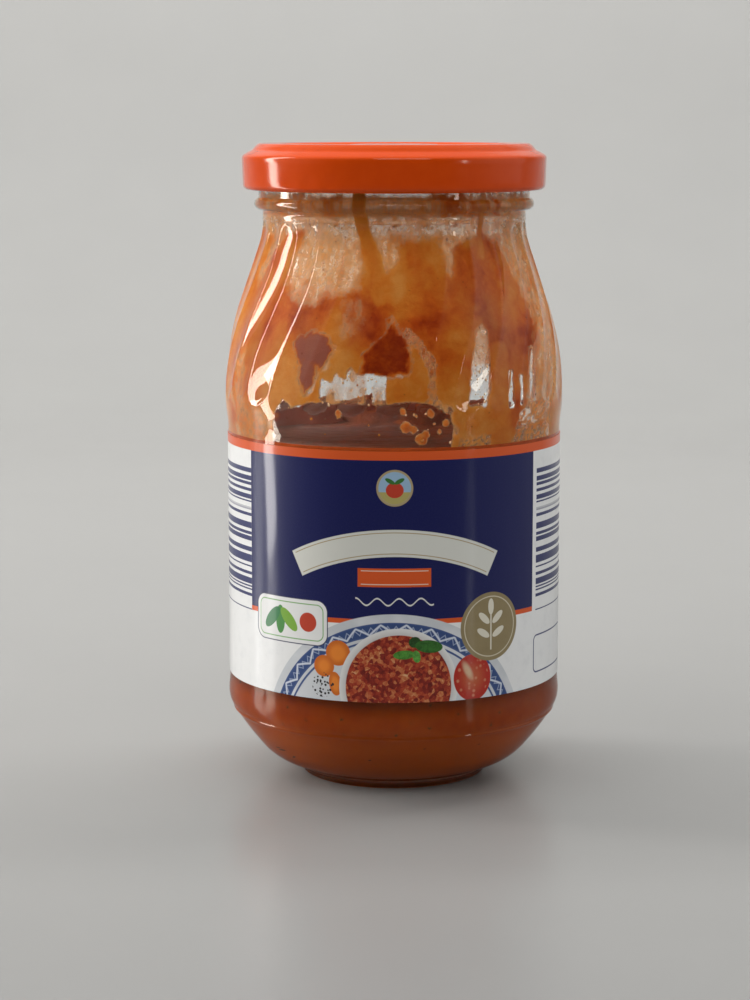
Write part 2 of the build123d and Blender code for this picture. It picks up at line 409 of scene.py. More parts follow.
def flute_bump(R, Z, T):
    R = R.copy()
    rows = slice(0, n_out)
    z, t = Z[rows], T[rows]
    frac = ((t - PHASE - twist(z)) / pitch) % 1.0
    uu = np.abs(2 * frac - 1)
    half = envelope(z) * math.radians(pitch) / 2
    w_full = half - 0.28
    bot, top = H0 + 4.0, H1 - 3.3
    lo = np.clip((bot - z) / (bot - H0), 0, 1)
    hi = np.clip((z - top) / (H1 - top), 0, 1)
    w = w_full * np.sqrt(np.maximum(1 - lo**2, 0)) * np.sqrt(np.maximum(1 - hi**2, 0))
    s = np.where(w > 0.05, uu * half / np.maximum(w, 0.05), 9.0)
    d = DEPTH * (0.66 + 0.14 * smooth((z - 95) / 25)) * np.clip(1 - s**2, 0, 1) ** 0.85
    d = d * np.minimum(w / w_full, 1) ** np.where(z < 96, 1.15, 0.5)
    d = np.where((z > H0) & (z < H1), d, 0)
    R[rows] -= d
    P = np.stack([R * np.sin(np.radians(T)), -R * np.cos(np.radians(T)), Z], -1).reshape(-1, 3)
    wob = (fbm(P, 14.0, 3, 5) * 0.5 + 0.5).reshape(R.shape)
    amp = np.zeros(len(R))
    zz = Z[:, 0]
    amp[:n_out] = 0.10 * smooth((zz[:n_out] - 2.0) / 4.0) * smooth((128.0 - zz[:n_out]) / 4.0)
    amp[n_out:] = 0.28 * smooth((zz[n_out:] - 5.0) / 8.0) * smooth((126.0 - zz[n_out:]) / 6.0)
    keep = (zz > PANEL_Z0) & (zz < PANEL_Z1) & (np.arange(len(R)) < n_out)
    amp[keep] *= 0.2
    R -= amp[:, None] * wob
    return R, Z


jar = lathe("jar_glass", section, theta=theta, bump=flute_bump)
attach(jar, "root"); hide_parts("jar")

# ---- sauce filling
def sauce_section():
    zs = np.concatenate([[7.0, 8.0, 9.5, 11.0, 13.0, 15.5, 18.0, 21.0], np.linspace(26, SAUCE_Z - 1.2, 26)])
    wall = np.stack([inner_radius(zs) + 0.16, zs], 1)
    floor = _inner[_inner[:, 1] < 6.9][1:] - np.array([0.0, 0.14])
    rim = [(inner_radius(SAUCE_Z) + 0.16, SAUCE_Z - 0.35), (inner_radius(SAUCE_Z) - 0.15, SAUCE_Z - 0.2)]
    rr = np.concatenate([np.linspace(inner_radius(SAUCE_Z) - 0.7, 22, 26), np.linspace(21, 0.7, 24)])
    top = np.stack([rr, np.full(len(rr), SAUCE_Z - 0.9)], 1)
    return np.vstack([floor, wall, rim, top]), len(floor) + len(wall) + len(rim)


ssec, n_side = sauce_section()


def ripple(R, Z, T):
    Z = Z.copy()
    k = slice(n_side, len(R))
    x, y = R[k] * np.sin(np.radians(T[k])), -R[k] * np.cos(np.radians(T[k]))
    P = np.stack([x, y * 1.6, x * 0], -1).reshape(-1, 3)
    warp = fbm(P, 9.0, 3, 31).reshape(x.shape)
    Pw = np.stack([x * 0.35 + warp * 5, y + warp * 6, x * 0], -1).reshape(-1, 3)
    fold = 1 - np.abs(fbm(Pw, 4.2, 3, 12)).reshape(x.shape)
    h = 0.5 * fbm(P, 12.0, 3, 3).reshape(x.shape) + 0.55 * (fold - 0.75)
    edge = smooth((inner_radius(SAUCE_Z) - R[k]) / 2.2)
    Z[k] += np.clip(h * edge, -1.2, 0.85) + (1 - edge) * 0.65
    return R, Z


top_rows = np.repeat((np.arange(len(ssec)) >= n_side - 1).astype(float), 300)
sauce = lathe("sauce_fill", ssec, nc=300, bump=ripple, attrs={"surface": np.concatenate([top_rows, [0.0, 1.0]])})
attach(sauce, "root"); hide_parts("sauce")


# ---- sauce film on the inside of the glass above the filling
def inside(poly, P):
    """Signed distance to a closed outline, negative inside; points in mm."""
    A = np.array(poly, float)
    B = np.roll(A, -1, axis=0)
    d = np.full(len(P), 1e9)
    odd = np.zeros(len(P), bool)
    for a, b in zip(A, B):
        e = b - a
        w = P - a
        t = np.clip((w @ e) / (e @ e), 0, 1)
        d = np.minimum(d, np.linalg.norm(w - t[:, None] * e, axis=1))
        c = (a[1] > P[:, 1]) != (b[1] > P[:, 1])
        with np.errstate(divide="ignore", invalid="ignore"):
            xi = a[0] + (P[:, 1] - a[1]) / (b[1] - a[1]) * (b[0] - a[0])
        odd ^= c & (P[:, 0] < xi)
    return np.where(odd, -d, d)


DEG = INNER_R * PI / 180        # mm of wall per degree, used as the flat map's scale


def flat(poly):
    return [(t * DEG, z) for t, z in poly]


def wall_map(theta_deg, z, want_tone=False):
    """Film on the inner wall at (degrees from the front, height): cover, 0 bare to 1 thick, and tone, 0 ochre to 1
    deep red; with want_tone also a mauve mix, partly the sauce's own mauve and partly painted shade.
    """
    t = (np.asarray(theta_deg) + 180) % 360 - 180
    z = np.asarray(z, float)
    P3 = np.stack([INNER_R * np.sin(np.radians(t)), -INNER_R * np.cos(np.radians(t)), z], -1)
    P2 = np.stack([t * DEG, z], -1)
    rag = fbm(P3, 3.0, 5, 21, 0.64) * 1.9
    big = fbm(P3, 15.0, 4, 8)
    mid = fbm(P3 * np.array([1.1, 1.1, 0.85]), 6.5, 4, 77, 0.5)
    fine = fbm(P3, 1.3, 3, 19, 0.6)
    th = 0.76 + 0.28 * big + 0.26 * mid + 0.10 * fine
    front = np.abs(t) < 92
    turn = smooth((np.abs(t) - 82) / 24)        # the front's coat passes gradually into the back's
    tb = np.where(t > 0, t - 180, t + 180)      # degrees from the back, + towards the left as seen from the front
    Pb = np.stack([tb * DEG, z], -1)

    def blob(c, zc, w, h, on=front, tt=t):
        return np.exp(-(((tt - c) / w) ** 2 + ((z - zc) / h) ** 2)) * on

    th += 0.35 * blob(22, 103, 24, 12) + 0.20 * blob(-2, 108, 12, 7)

    def soft(poly, P, width, jag=0.8):
        """1 well inside an outline, 0 outside, with a torn edge."""
        return smooth(0.5 - (inside(flat(poly), P) + rag * jag) / width)

    # thin veils where the coat was wiped or ran off
    veils = [(0.25, [(-50, 111), (-47, 118), (-43, 124.5), (-17, 124.5), (-14, 120), (-11.5, 114), (-13, 110.0), (-24, 107.0), (-36, 105.5), (-44, 107)]),
             (0.20, [(-7, 124.5), (-7, 118), (-4, 113), (1.5, 115), (4, 119.5), (16, 121.5), (18, 124.5)]),
             (0.24, [(19, 124.5), (19.5, 118), (22.5, 111.0), (25, 113.5), (29, 118.5), (36, 121), (44, 124.5)]),
             (0.25, [(36, 124.5), (36, 121), (49, 118.5), (53, 116), (56.5, 110), (58.5, 105), (56.0, 98), (54, 92), (50, 88.5), (50, 84), (78, 84), (80, 97), (82, 110), (78, 124.5)]),
             (0.24, [(-66, 108), (-58, 119), (-56, 125), (-64, 125), (-74, 112)]),
             (0.30, [(-76, 82), (-64, 84), (-62, 96), (-66, 104), (-74, 96)]),
             (0.30, [(-76, 76), (-45, 76), (-45, 84.5), (-50, 86.5), (-74, 86)]),
             (0.34, [(-22, 107), (-13, 111), (-8, 106), (-10, 100.5), (-20, 100)])]
    for k, poly in veils:
        v = soft(poly, P2, 4.0) * front
        th = th * (1 - v) + v * np.maximum(k + 0.02 + 0.20 * fine + 0.14 * mid, 0.17)
    # towards the neck the coat thins to a haze with thicker patches
    up = smooth((z - 119.0 - 2.2 * big) / 4.0)
    th = th * (1 - up) + up * np.maximum(0.20 + 0.12 * smooth((z - 124.5) / 1.5) + 0.18 * fine + 0.10 * mid, 0.14)
    th += 0.34 * smooth((mid + 0.25 * fine - 0.12) / 0.45) * smooth((z - 125.4) / 1.2) * (1 - 0.6 * turn)
    tone = 0.30 + 0.62 * big + 0.50 * mid
    tone += 0.50 * blob(15, 99, 11, 9) + 0.42 * blob(34, 104, 13, 10) + 0.30 * blob(48, 99, 10, 9) - 0.30 * blob(18, 91, 6, 5) + 0.35 * blob(-4, 105, 8, 6) + 0.35 * blob(7, 116, 6, 8) + 0.25 * blob(-27, 93, 7, 6) + 0.35 * blob(11, 103.5, 9, 2.0)
    tone += 0.18 * blob(-55, 98, 14, 16)
    tone -= 0.45 * blob(3, 110, 6, 8) + 0.35 * blob(9, 94, 5, 8) + 0.30 * blob(-20, 104, 9, 5) + 0.3 * blob(-60, 95, 8, 14)
    tone += 0.22 * blob(16, 112, 8, 8) + 0.18 * blob(30, 112, 8, 8)
    # mauve mix: partly the sauce's own mauve tone, partly painted shade
    mauve_and_painted_shade = 0.30 * blob(-56, 94, 13, 18) + 0.40 * blob(36, 104, 9, 7) + 0.15 * blob(47, 98, 8, 7) + 0.30 * blob(-16, 104, 6, 5) + 0.30 * blob(-35, 103, 5, 6)
    th -= 0.34 * blob(13, 99.5, 9, 1.6) + 0.26 * blob(22, 92, 4, 5)

    def patch(poly, tone_to, mauve_and_painted_shade_to, th_to, rim=1.5, rim_th=0.26, jag=1.0, soft_w=0.9):
        """A lump with its own colour and a pale torn rim; where its mauve share is above 0, that mauve is painted
        shade.
        """
        nonlocal th, tone, mauve_and_painted_shade
        d = inside(flat(poly), P2) + rag * jag
        ins = smooth(0.5 - d / soft_w) * front
        ring = np.exp(-((d - 0.25 * rim) / (0.62 * rim)) ** 2) * front * (1 - ins)
        th = th * (1 - ins) + th_to * ins
        tone = tone * (1 - ins) + tone_to * ins
        mauve_and_painted_shade = mauve_and_painted_shade * (1 - ins) + mauve_and_painted_shade_to * ins
        th = th * (1 - ring) + (rim_th + 0.20 * fine) * ring

    # painted shade: a mauve lump with a pale torn rim, standing for the shaded back coat seen through a gap in the
    # front coat
    patch([(-37.0, 98.7), (-35.1, 100.6), (-32.2, 99.4), (-28.6, 100.8), (-24.8, 100.5), (-22.0, 98.0), (-24.8, 95.4), (-28.7, 94.5), (-30.1, 91.0), (-31.8, 89.0), (-33.0, 92.0), (-34.0, 95.5)], 0.75, 0.85, 0.95)
    patch([(-2.0, 94.5), (4.9, 94.0), (5.6, 99.6), (8.0, 98.6), (10.6, 95.9), (12.1, 92.3), (12.3, 88.8), (10.0, 86.6), (-2.8, 86.6), (-3.0, 92.5)], 0.30, 0.0, 0.72, 1.7, 0.25, 1.0, 1.4)
    patch([(-10.4, 93.4), (-9.4, 97.4), (-7.0, 99.0), (-4.2, 100.9), (-1.3, 103.6), (1.3, 102.2), (3.6, 99.9), (4.6, 97.4), (4.9, 93.6), (0.0, 92.9), (-5.0, 93.4)], 1.08, 0.0, 1.1, 1.7, 0.26, 1.05, 1.1)
    # pale crust left where the coat tore off
    crust = np.full(len(P2), 1e9)
    for p_, q_ in zip(*(lambda A: (A[:-1], A[1:]))(np.array([(4.6, 101.2), (7.5, 100.2), (9.5, 98.6), (12.0, 96.0), (13.6, 92.6), (13.2, 89.0), (15.0, 86.8), (19.5, 84.6), (20.5, 81.5)]) * np.array([DEG, 1.0]))):
        e = q_ - p_
        w = P2 - p_
        q = np.clip((w @ e) / (e @ e), 0, 1)
        crust = np.minimum(crust, np.linalg.norm(w - q[:, None] * e, axis=1))
    cr = (1 - smooth((crust + rag * 0.7 - 0.75) / 0.9)) * front
    th = th * (1 - cr) + (0.22 + 0.32 * fine) * cr
    # bare glass: a band of window above the filling, and the wall in front of the filling's surface
    w1 = inside(flat([(-25.6, 88.0), (-25.0, 91.6), (-21.4, 90.7), (-19.6, 92.4), (-16.6, 91.4), (-15.0, 94.4), (-12.3, 92.2), (-9.1, 93.0), (-3.1, 92.4), (-3.1, 86.0), (-11.0, 86.0), (-18.9, 86.4), (-22.6, 85.8)]), P2)
    th = np.where(front, np.minimum(th, 0.02 + (w1 + rag * 0.42) / 1.0), th)
    streak = fbm(np.stack([t * DEG * 1.0, z * 0.16, 0.0 * z], -1), 1.7, 3, 201, 0.6)
    haze = np.clip(0.08 + 0.34 * streak + 0.16 * fine, 0.0, 0.30)
    th = np.where(front & (w1 < 0.3), np.maximum(th, haze), th)
    hole = inside(flat([(-44.5, 84.3), (-41.0, 86.9), (-37, 85.4), (-29.5, 86.6), (-14.0, 86.9), (-3, 86.6), (6, 87.4), (12.5, 86.8), (19, 84.4), (20.0, 81), (19.5, 75), (-46, 75), (-46, 80)]), P2)
    th = np.where(front, np.minimum(th, 0.04 + (hole + rag * 0.36) / 1.1), th)
    # thin window right of the middle, clear towards its foot
    win = inside(flat([(27.0, 86.6), (32.6, 86.2), (34.6, 91.4), (35.6, 96.0), (35.4, 101.4), (33.4, 103.2), (30.4, 101.6), (28.6, 97.0), (27.2, 91.6)]), P2)
    lean = np.clip(0.20 * (z - 90.5) / 7.0, -0.06, 0.24) + 0.10 * fine
    th = np.where(front, np.minimum(th, lean + np.clip((win + rag * 0.3) / 1.3, 0.0, 9)), th)
    # far right, low: narrow clear stripes
    for c, w, z0_, zt, lift in ((43.6, 1.75, 85.2, 93.0, -0.02), (56.0, 1.8, 85.0, 97.5, 0.10), (49.0, 0.8, 85.5, 92.0, 0.12)):
        st = inside(flat([(c - w, z0_), (c + w, z0_), (c + w, zt), (c - w, zt)]), P2)
        th = np.where(front, np.minimum(th, lift + np.clip((st + rag * 0.20) / 0.7, -0.2 - lift, 9)), th)
    # back wall: bare band just above the filling, coat elsewhere
    for poly in ([(-7, 76), (44, 76), (44, 85.6), (31, 86.6), (27, 88.0), (17, 88.8), (13.0, 87.0), (4, 86.8), (-7, 85.8)],
                 [(-45, 76), (-27, 76), (-27, 97), (-33, 100), (-40, 99), (-44, 92)],
                 [(-56, 76), (-45, 76), (-45, 88), (-56, 88)],
                 [(-70, 76), (-60, 76), (-60, 92), (-70, 92)]):
        hb = inside(flat(poly), Pb)
        th = np.where(~front, np.minimum(th, 0.02 + (hb + rag * 0.9) / 1.3), th)
    back_veil = smooth((np.abs(tb) - 55) / 10) * smooth((102 - np.abs(tb)) / 14) * 0.30
    th = th - turn * (0.14 + back_veil + 0.34 * smooth((z - 97) / 9)) + 0.35 * blob(4, 91, 14, 7, ~front, tb)
    th = np.where(z > 88, np.maximum(th, (0.13 + 0.10 * fine) * turn), th)
    low_rim = np.where(~front, 1 - smooth((z - 79.1 + 0.6 * smooth((-22 - tb) / 6) - 0.30 * mid) / 0.5), 0)
    th = np.where(~front, np.maximum(th, low_rim * 6.1 - 5.0), th)
    low_rim = low_rim * smooth((np.abs(t) - 94) / 12)
    # the back's low rim takes the full mauve mix: painted shade on the back coat
    mauve_and_painted_shade = np.where(~front, low_rim, mauve_and_painted_shade)
    tone = tone * (1 - turn) + turn * (0.34 + 0.9 * low_rim + 0.4 * mid + 0.50 * blob(4, 93, 12, 6, ~front, tb) - 0.45 * blob(-6, 83, 10, 5, ~front, tb))

    # drips
    def drip(path, width, amount, colour=None):
        nonlocal th, tone
        A = np.array(path, float) * np.array([DEG, 1.0])
        d = np.full(len(P2), 1e9)
        for p_, q_ in zip(A[:-1], A[1:]):
            e = q_ - p_
            w = P2 - p_
            q = np.clip((w @ e) / (e @ e), 0, 1)
            d = np.minimum(d, np.linalg.norm(w - q[:, None] * e, axis=1))
        g = 1 - smooth((d + rag * 0.10 - width * 0.42) / (width * 0.35))
        th = np.maximum(th, th * (1 - g) + amount * g)
        if colour is not None:
            tone = tone * (1 - g) + colour * g
    drip([(-15.6, 131), (-15.3, 127), (-14.2, 124), (-11.5, 120.0), (-9.0, 117.5), (-7.0, 113.0), (-5.5, 108.5)], 2.6, 0.90, 0.34)
    drip([(42.8, 131), (42.5, 127), (41.0, 122), (40.5, 117)], 1.3, 0.55, 0.35)
    drip([(39.6, 97), (39.2, 91), (39.0, 85), (39.4, 76)], 3.6, 0.90, 0.36)
    drip([(22.5, 84.0), (29.0, 81.6), (36.0, 81.6)], 2.6, 0.62, 0.22)
    for c, zc, r_ in ((4.0, 82.2, 1.15), (6.6, 81.6, 0.8), (9.4, 79.6, 1.3), (10.8, 80.6, 0.9), (3.2, 85.4, 0.7), (12.4, 84.9, 0.9), (-19.0, 85.0, 0.8), (-18.6, 84.2, 0.6), (15.6, 81.2, 0.6), (17.4, 83.0, 0.8), (13.8, 82.8, 0.45), (7.5, 84.4, 0.4)):
        dd = np.hypot((t - c) * DEG, (z - zc) * 0.9) + rag * 0.30 - r_
        on_drop = front & (dd < 0.05)
        th = np.where(front, np.maximum(th, np.clip(0.10 - dd / 0.6, -1, 0.46)), th)
        tone = np.where(on_drop, 0.62 + 0.5 * fine, tone)
    # low right: grainy rest of sauce over the filling
    grain = np.abs(fbm(P3, 1.5, 3, 143, 0.6))
    for poly, amp in (([(20.5, 76), (36, 76), (35.4, 80.2), (23, 79.6)], 0.55), ([(44, 77), (70, 77), (68, 87), (60, 86.5), (47, 84.5)], 0.50)):
        low = soft(poly, P2, 2.0, 0.4) * front
        th = th * (1 - low) + low * np.maximum(0.62 - 2.2 * grain, 0.16) * amp * 1.6
    th = np.where(z > 129.5, th - (z - 129.5) * 0.25, th)
    return (th, np.clip(tone, 0, 1.4), np.clip(mauve_and_painted_shade, 0, 1)) if want_tone else th


def film_piece(name, t0, t1, step_mm, z0, z1, dz):
    nt = int(round((t1 - t0) * DEG / step_mm)) + 1
    nz = int(round((z1 - z0) / dz)) + 1
    T, Z = np.meshgrid(np.linspace(t0, t1, nt), np.linspace(z0, z1, nz), indexing="xy")
    th, tone, mauve_and_painted_shade = wall_map(T.ravel(), Z.ravel(), True)
    th = th.reshape(T.shape)
    P3 = np.stack([INNER_R * np.sin(np.radians(T)), -INNER_R * np.cos(np.radians(T)), Z], -1).reshape(-1, 3)
    lump = fbm(P3, 2.2, 4, 55, 0.6).reshape(T.shape)
    wrinkle = (1 - np.abs(fbm(P3, 1.3, 3, 91))).reshape(T.shape)
    thick = 0.16 + 0.55 * np.clip(th, 0, 1.1) + 0.22 * lump + 0.25 * (wrinkle - 0.8) * np.clip(1.2 - th, 0, 1)
    thick = np.maximum(thick, 0.08) * smooth(th / 0.12 + 0.35)
    R = inner_radius(Z)
    out, inn = R + 0.10, R - np.maximum(thick, 0.03)
    a = np.radians(T)
    Vo = np.stack([out * np.sin(a), -out * np.cos(a), Z], -1).reshape(-1, 3)
    Vi = np.stack([inn * np.sin(a), -inn * np.cos(a), Z], -1).reshape(-1, 3)
    n = nt * nz
    i, j = np.meshgrid(np.arange(nz - 1), np.arange(nt - 1), indexing="ij")
    c = np.stack([i * nt + j, i * nt + j + 1, (i + 1) * nt + j + 1, (i + 1) * nt + j], -1)
    thf = th.ravel()
    keep = thf[c].max(-1) > 0.0
    cq = c[keep]
    Q = [cq, cq[:, ::-1] + n]
    kp = np.pad(keep, 1)
    for di, dj, p, q in ((-1, 0, 0, 1), (0, 1, 1, 2), (1, 0, 2, 3), (0, -1, 3, 0)):
        nb = kp[1 + di:1 + di + keep.shape[0], 1 + dj:1 + dj + keep.shape[1]]
        m = keep & ~nb
        e = c[m]
        Q.append(np.stack([e[:, q], e[:, p], e[:, p] + n, e[:, q] + n], -1))
    Q = np.vstack(Q)
    used = np.unique(Q)
    remap = np.zeros(2 * n, int)
    remap[used] = np.arange(len(used))
    V = np.vstack([Vo, Vi])[used]
    at = {"film": np.concatenate([thf, thf])[used], "tone": np.concatenate([tone, tone])[used], "mauve_and_painted_shade": np.concatenate([mauve_and_painted_shade, mauve_and_painted_shade])[used]}
    ob = make_mesh(name, V, remap[Q], attrs=at)
    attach(ob, "root")
    return ob


film_front = film_piece("sauce_film_front", -92, 92, 0.40, 76.8, 132.6, 0.43)
film_back = film_piece("sauce_film_back", 92, 268, 0.60, 76.8, 132.6, 0.60)


# ---- droplets, specks and edge beads on the glass; the beads' light colour is partly painted glint
def blob_mesh(name, items, seg=10, rings=6):
    """Joined flattened drops: (theta, z, radius, height, squash)."""
    u = np.linspace(0, PI, rings + 1)[1:-1]
    v = np.linspace(0, 2 * PI, seg, endpoint=False)
    unit = np.array([[math.sin(a) * math.cos(b), math.sin(a) * math.sin(b), math.cos(a)] for a in u for b in v] + [[0, 0, 1], [0, 0, -1]])
    Q, T = [], []
    for i in range(len(u) - 1):
        for j in range(seg):
            Q.append((i * seg + j, (i + 1) * seg + j, (i + 1) * seg + (j + 1) % seg, i * seg + (j + 1) % seg))
    nn = len(u) * seg
    for j in range(seg):
        T.append((nn, j, (j + 1) % seg))
        T.append((nn + 1, (len(u) - 1) * seg + (j + 1) % seg, (len(u) - 1) * seg + j))
    Q, T = np.array(Q), np.array(T)
    VV, QQ, TT, tone = [], [], [], []
    for k, (t, z, r, h, sq) in enumerate(items):
        a = math.radians(t)
        R = float(inner_radius(z))
        ex, ez, en = np.array([math.cos(a), math.sin(a), 0]), np.array([0, 0, 1.0]), np.array([math.sin(a), -math.cos(a), 0])
        c = en * R + ez * z
        V = c + unit[:, :1] * ex * r + unit[:, 1:2] * ez * r * sq - unit[:, 2:3] * en * h
        VV.append(V)
        QQ.append(Q + k * len(unit))
        TT.append(T + k * len(unit))
        tone.append(np.full(len(unit), (k * 0.6180339) % 1.0))
    ob = make_mesh(name, np.vstack(VV), np.vstack(QQ), np.vstack(TT), attrs={"tone": np.concatenate(tone)})
    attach(ob, "root")
    return ob


rng = np.random.default_rng(7)
specks, beads_with_painted_glint = [], []
cand_t = rng.uniform(-95, 95, 9000)
cand_z = rng.uniform(77.5, 128, 9000)
wm = wall_map(cand_t, cand_z)
for t, z, w in zip(cand_t, cand_z, wm):
    u, v = rng.random(), rng.random()
    r = 0.06 + 0.20 * rng.random() ** 3
    if w < 0.05:
        if u < (0.30 if z > 117 else 0.10 if z > 86 else 0.04):
            specks.append((t, z, r, r * 0.5, rng.uniform(0.9, 1.5)))
    elif w < 0.35 and z > 86:
        if u < 0.22:
            specks.append((t, z, r * 0.9, r * 0.5, rng.uniform(0.9, 1.5)))
    # beads along the coat's torn edges: real beads of sauce, whose light colour is painted glint
    if -0.14 < w < 0.12 and v < 0.55:
        beads_with_painted_glint.append((t, z, 0.08 + 0.22 * rng.random() ** 2, 0.14, rng.uniform(0.7, 1.6)))
for t, z in zip(rng.uniform(92, 268, 260), rng.uniform(78.5, 128, 260)):
    r = 0.08 + 0.25 * rng.random() ** 3
    specks.append((t, z, r, r * 0.5, rng.uniform(0.9, 1.5)))
speck_ob = blob_mesh("sauce_specks", specks, 7, 4)
beads_painted_glint_ob = blob_mesh("sauce_beads_painted_glint", beads_with_painted_glint, 8, 4)
drops = [(9.6, 79.4, 0.55, 0.16, 1.05), (-19.0, 84.4, 0.42, 0.12, 1.5), (4.6, 82.1, 0.38, 0.1, 0.8), (-5.0, 80.6, 0.22, 0.1, 1.2), (-12.0, 88.4, 0.25, 0.1, 1.0),
         (15.5, 81.5, 0.25, 0.1, 1.3), (-29, 83.5, 0.25, 0.1, 1.1), (-8.5, 82.6, 0.18, 0.1, 1.1), (-24.0, 80.4, 0.16, 0.1, 0.9)]
drop_ob = blob_mesh("sauce_drops", drops, 24, 14)

# ---- label sleeve
LW = 1.6      # overlap, degrees
nt, nz = 560, 30
tt = np.linspace(-180 - LW, 180 + LW, nt)
zz = np.linspace(LABEL_Z0, LABEL_Z1, nz)
T, Z = np.meshgrid(tt, zz, indexing="xy")
over = smooth((T - (180 - 2 * LW - 1.5)) / 2.5)
P3 = np.stack([LABEL_R * np.sin(np.radians(T)), -LABEL_R * np.cos(np.radians(T)), Z], -1).reshape(-1, 3)
wav = fbm(P3, 11.0, 3, 61).reshape(T.shape) * 0.05 + fbm(P3 * np.array([1, 1, 0.25]), 3.0, 2, 62).reshape(T.shape) * 0.018
Ro = LABEL_R - 0.06 + wav * 0.8 + over * 0.13
Ri = np.where(over > 0, Ro - 0.11, np.minimum(Ro - 0.10, PANEL_R + 0.0))
a = np.radians(T)
Vo = np.stack([Ro * np.sin(a), -Ro * np.cos(a), Z], -1).reshape(-1, 3)
Vi = np.stack([Ri * np.sin(a), -Ri * np.cos(a), Z], -1).reshape(-1, 3)
n = nt * nz
i, j = np.meshgrid(np.arange(nz - 1), np.arange(nt - 1), indexing="ij")
c = np.stack([i * nt + j, i * nt + j + 1, (i + 1) * nt + j + 1, (i + 1) * nt + j], -1).reshape(-1, 4)
jj = np.arange(nt - 1)
ii = np.arange(nz - 1)
top, bot = (nz - 1) * nt + jj, jj
left, right = ii * nt, ii * nt + nt - 1
Q = [c, c[:, ::-1] + n,
     np.stack([bot + 1, bot, bot + n, bot + 1 + n], -1), np.stack([top, top + 1, top + 1 + n, top + n], -1),
     np.stack([left, left + nt, left + nt + n, left + n], -1), np.stack([right + nt, right, right + n, right + nt + n], -1)]
label = make_mesh("label_paper", np.vstack([Vo, Vi]), np.vstack(Q), sharp=40)
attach(label, "root"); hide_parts("label")

# ---- lid
s = 0.5
LOWR, CURL = 33.35, 1.15
sunk = LID_TOP - 0.55
lid_sec = np.vstack([
    [(0.5, sunk + 0.4), (4.0, sunk + 0.4), (8.4, sunk + 0.4)],
    hermite([(9.0, sunk + 0.4), (11.0, sunk)], (1, 0), (1, 0), 6),
    [(12.0, sunk), (17.5, sunk), (23.6, sunk)],
    hermite([(24.4, sunk), (26.0, LID_TOP)], (1, 0), (1, 0), 7),
    [(26.6, LID_TOP), (28.2, LID_TOP)],
    hermite([(29.6, LID_TOP), (30.35, LID_TOP - 0.45), (31.35, 139.28), (32.05, 138.92), (LID_R, 137.6)], (1, 0), (0, -1), 6)[:-1],
    np.stack([np.linspace(LID_R, LOWR, 7)[:-1], np.linspace(137.6, LID_Z0 + CURL, 7)[:-1]], 1),
    arc3((LOWR, LID_Z0 + CURL), (LOWR - CURL, LID_Z0), (LOWR - 2 * CURL, LID_Z0 + CURL), 12)[:-1],
    arc3((LOWR - 2 * CURL, LID_Z0 + CURL), (LOWR - 2 * CURL + 0.5, LID_Z0 + 1.9 * CURL), (LOWR - s, LID_Z0 + 2 * CURL + 0.25), 6)[:-1],
    [(LOWR - s, LID_Z0 + 2 * CURL + 0.25), (LID_R - s, 137.5)],
    [(32.4, 138.6), (31.4, 138.75), (30.4, 138.8), (30.18, RIM_Z), (26.2, RIM_Z), (25.4, sunk - s), (12.0, sunk - s), (0.5, sunk - s)],
])


def lid_bump(R, Z, T):
    R, Z = R.copy(), Z.copy()
    t = (T + 180) % 360 - 180
    wall = smooth((Z - LID_Z0 - 0.1) / 1.0) * (1 - smooth((Z - 137.0) / 1.2)) * (R > 32.6)
    # small flats along the rolled edge and a faint long wave
    P = np.stack([R * np.sin(np.radians(T)), -R * np.cos(np.radians(T)), Z], -1).reshape(-1, 3)
    w = fbm(P, 18.0, 2, 71).reshape(R.shape)
    R -= 0.05 * (w * 0.5 + 0.5) * wall
    low = np.exp(-((Z - (LID_Z0 + 1.7)) / 1.3) ** 2)
    for c, wd, dp in ((-41.0, 3.2, 0.10), (-33.0, 3.0, 0.13), (-24.0, 2.6, 0.09), (118, 4, 0.12), (70, 3, 0.06)):
        R -= dp * np.exp(-((t - c) / wd) ** 2) * low * wall
    return R, Z


lid = lathe("lid_shell", lid_sec[::-1], nc=360, bump=lid_bump)
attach(lid, "root"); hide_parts("lid")

# ================================================================== materials
# ---- clear glass
g = Tree("clear_glass")
o = g.obj()
fine = g.noise(g.stretch(o, 1, 1, 0.5), 0.22, 2.0)
gb = g.bsdf(Base_Color=(0.985, 1.0, 0.992), Roughness=0.015, IOR=1.51, Transmission_Weight=1.0, Specular_IOR_Level=0.32, Specular_Tint=(1.0, 0.87, 0.70))
g.nt.links.new(g.bump(fine, 0.03, 0.0004), gb.inputs["Normal"])
lp = g.new("ShaderNodeLightPath")
tr = g.new("ShaderNodeBsdfTransparent")
tr.inputs[0].default_value = (0.95, 0.965, 0.955, 1)
mx = g.new("ShaderNodeMixShader")
g.nt.links.new(lp.outputs["Is Shadow Ray"], mx.inputs[0])
g.nt.links.new(gb.outputs[0], mx.inputs[1])
g.nt.links.new(tr.outputs[0], mx.inputs[2])
assign(jar, g.finish(mx.outputs[0]))

# ---- lacquered lid
l = Tree("lid_lacquer")
o = l.obj()
mott = l.noise(o, 0.35, 3.0)
peel = l.noise(o, 2.2, 2.0)
dust = l.noise(o, 6.0, 2.0, 0.7)
scr = l.noise(l.stretch(o, 0.25, 0.25, 5.0), 1.6, 2.0)
col = l.mix(mott, (0.57, 0.052, 0.002), (0.63, 0.064, 0.003))
col = l.mix(l.mul(l.ramp01(dust, 0.66, 0.78), 0.30), col, (0.74, 0.16, 0.05))
rough = l.add(l.mul(mott, 0.06), l.mul(l.ramp01(scr, 0.5, 0.75), 0.05))
lb = l.bsdf(Base_Color=col, Roughness=l.add(rough, 0.085), Specular_IOR_Level=0.46, Specular_Tint=(1.0, 0.86, 0.72))
hgt = l.add(l.mul(peel, 0.7), l.mul(dust, 0.3))
l.nt.links.new(l.bump(hgt, 0.025, 0.00010), lb.inputs["Normal"])
assign(lid, l.finish(lb.outputs[0]))

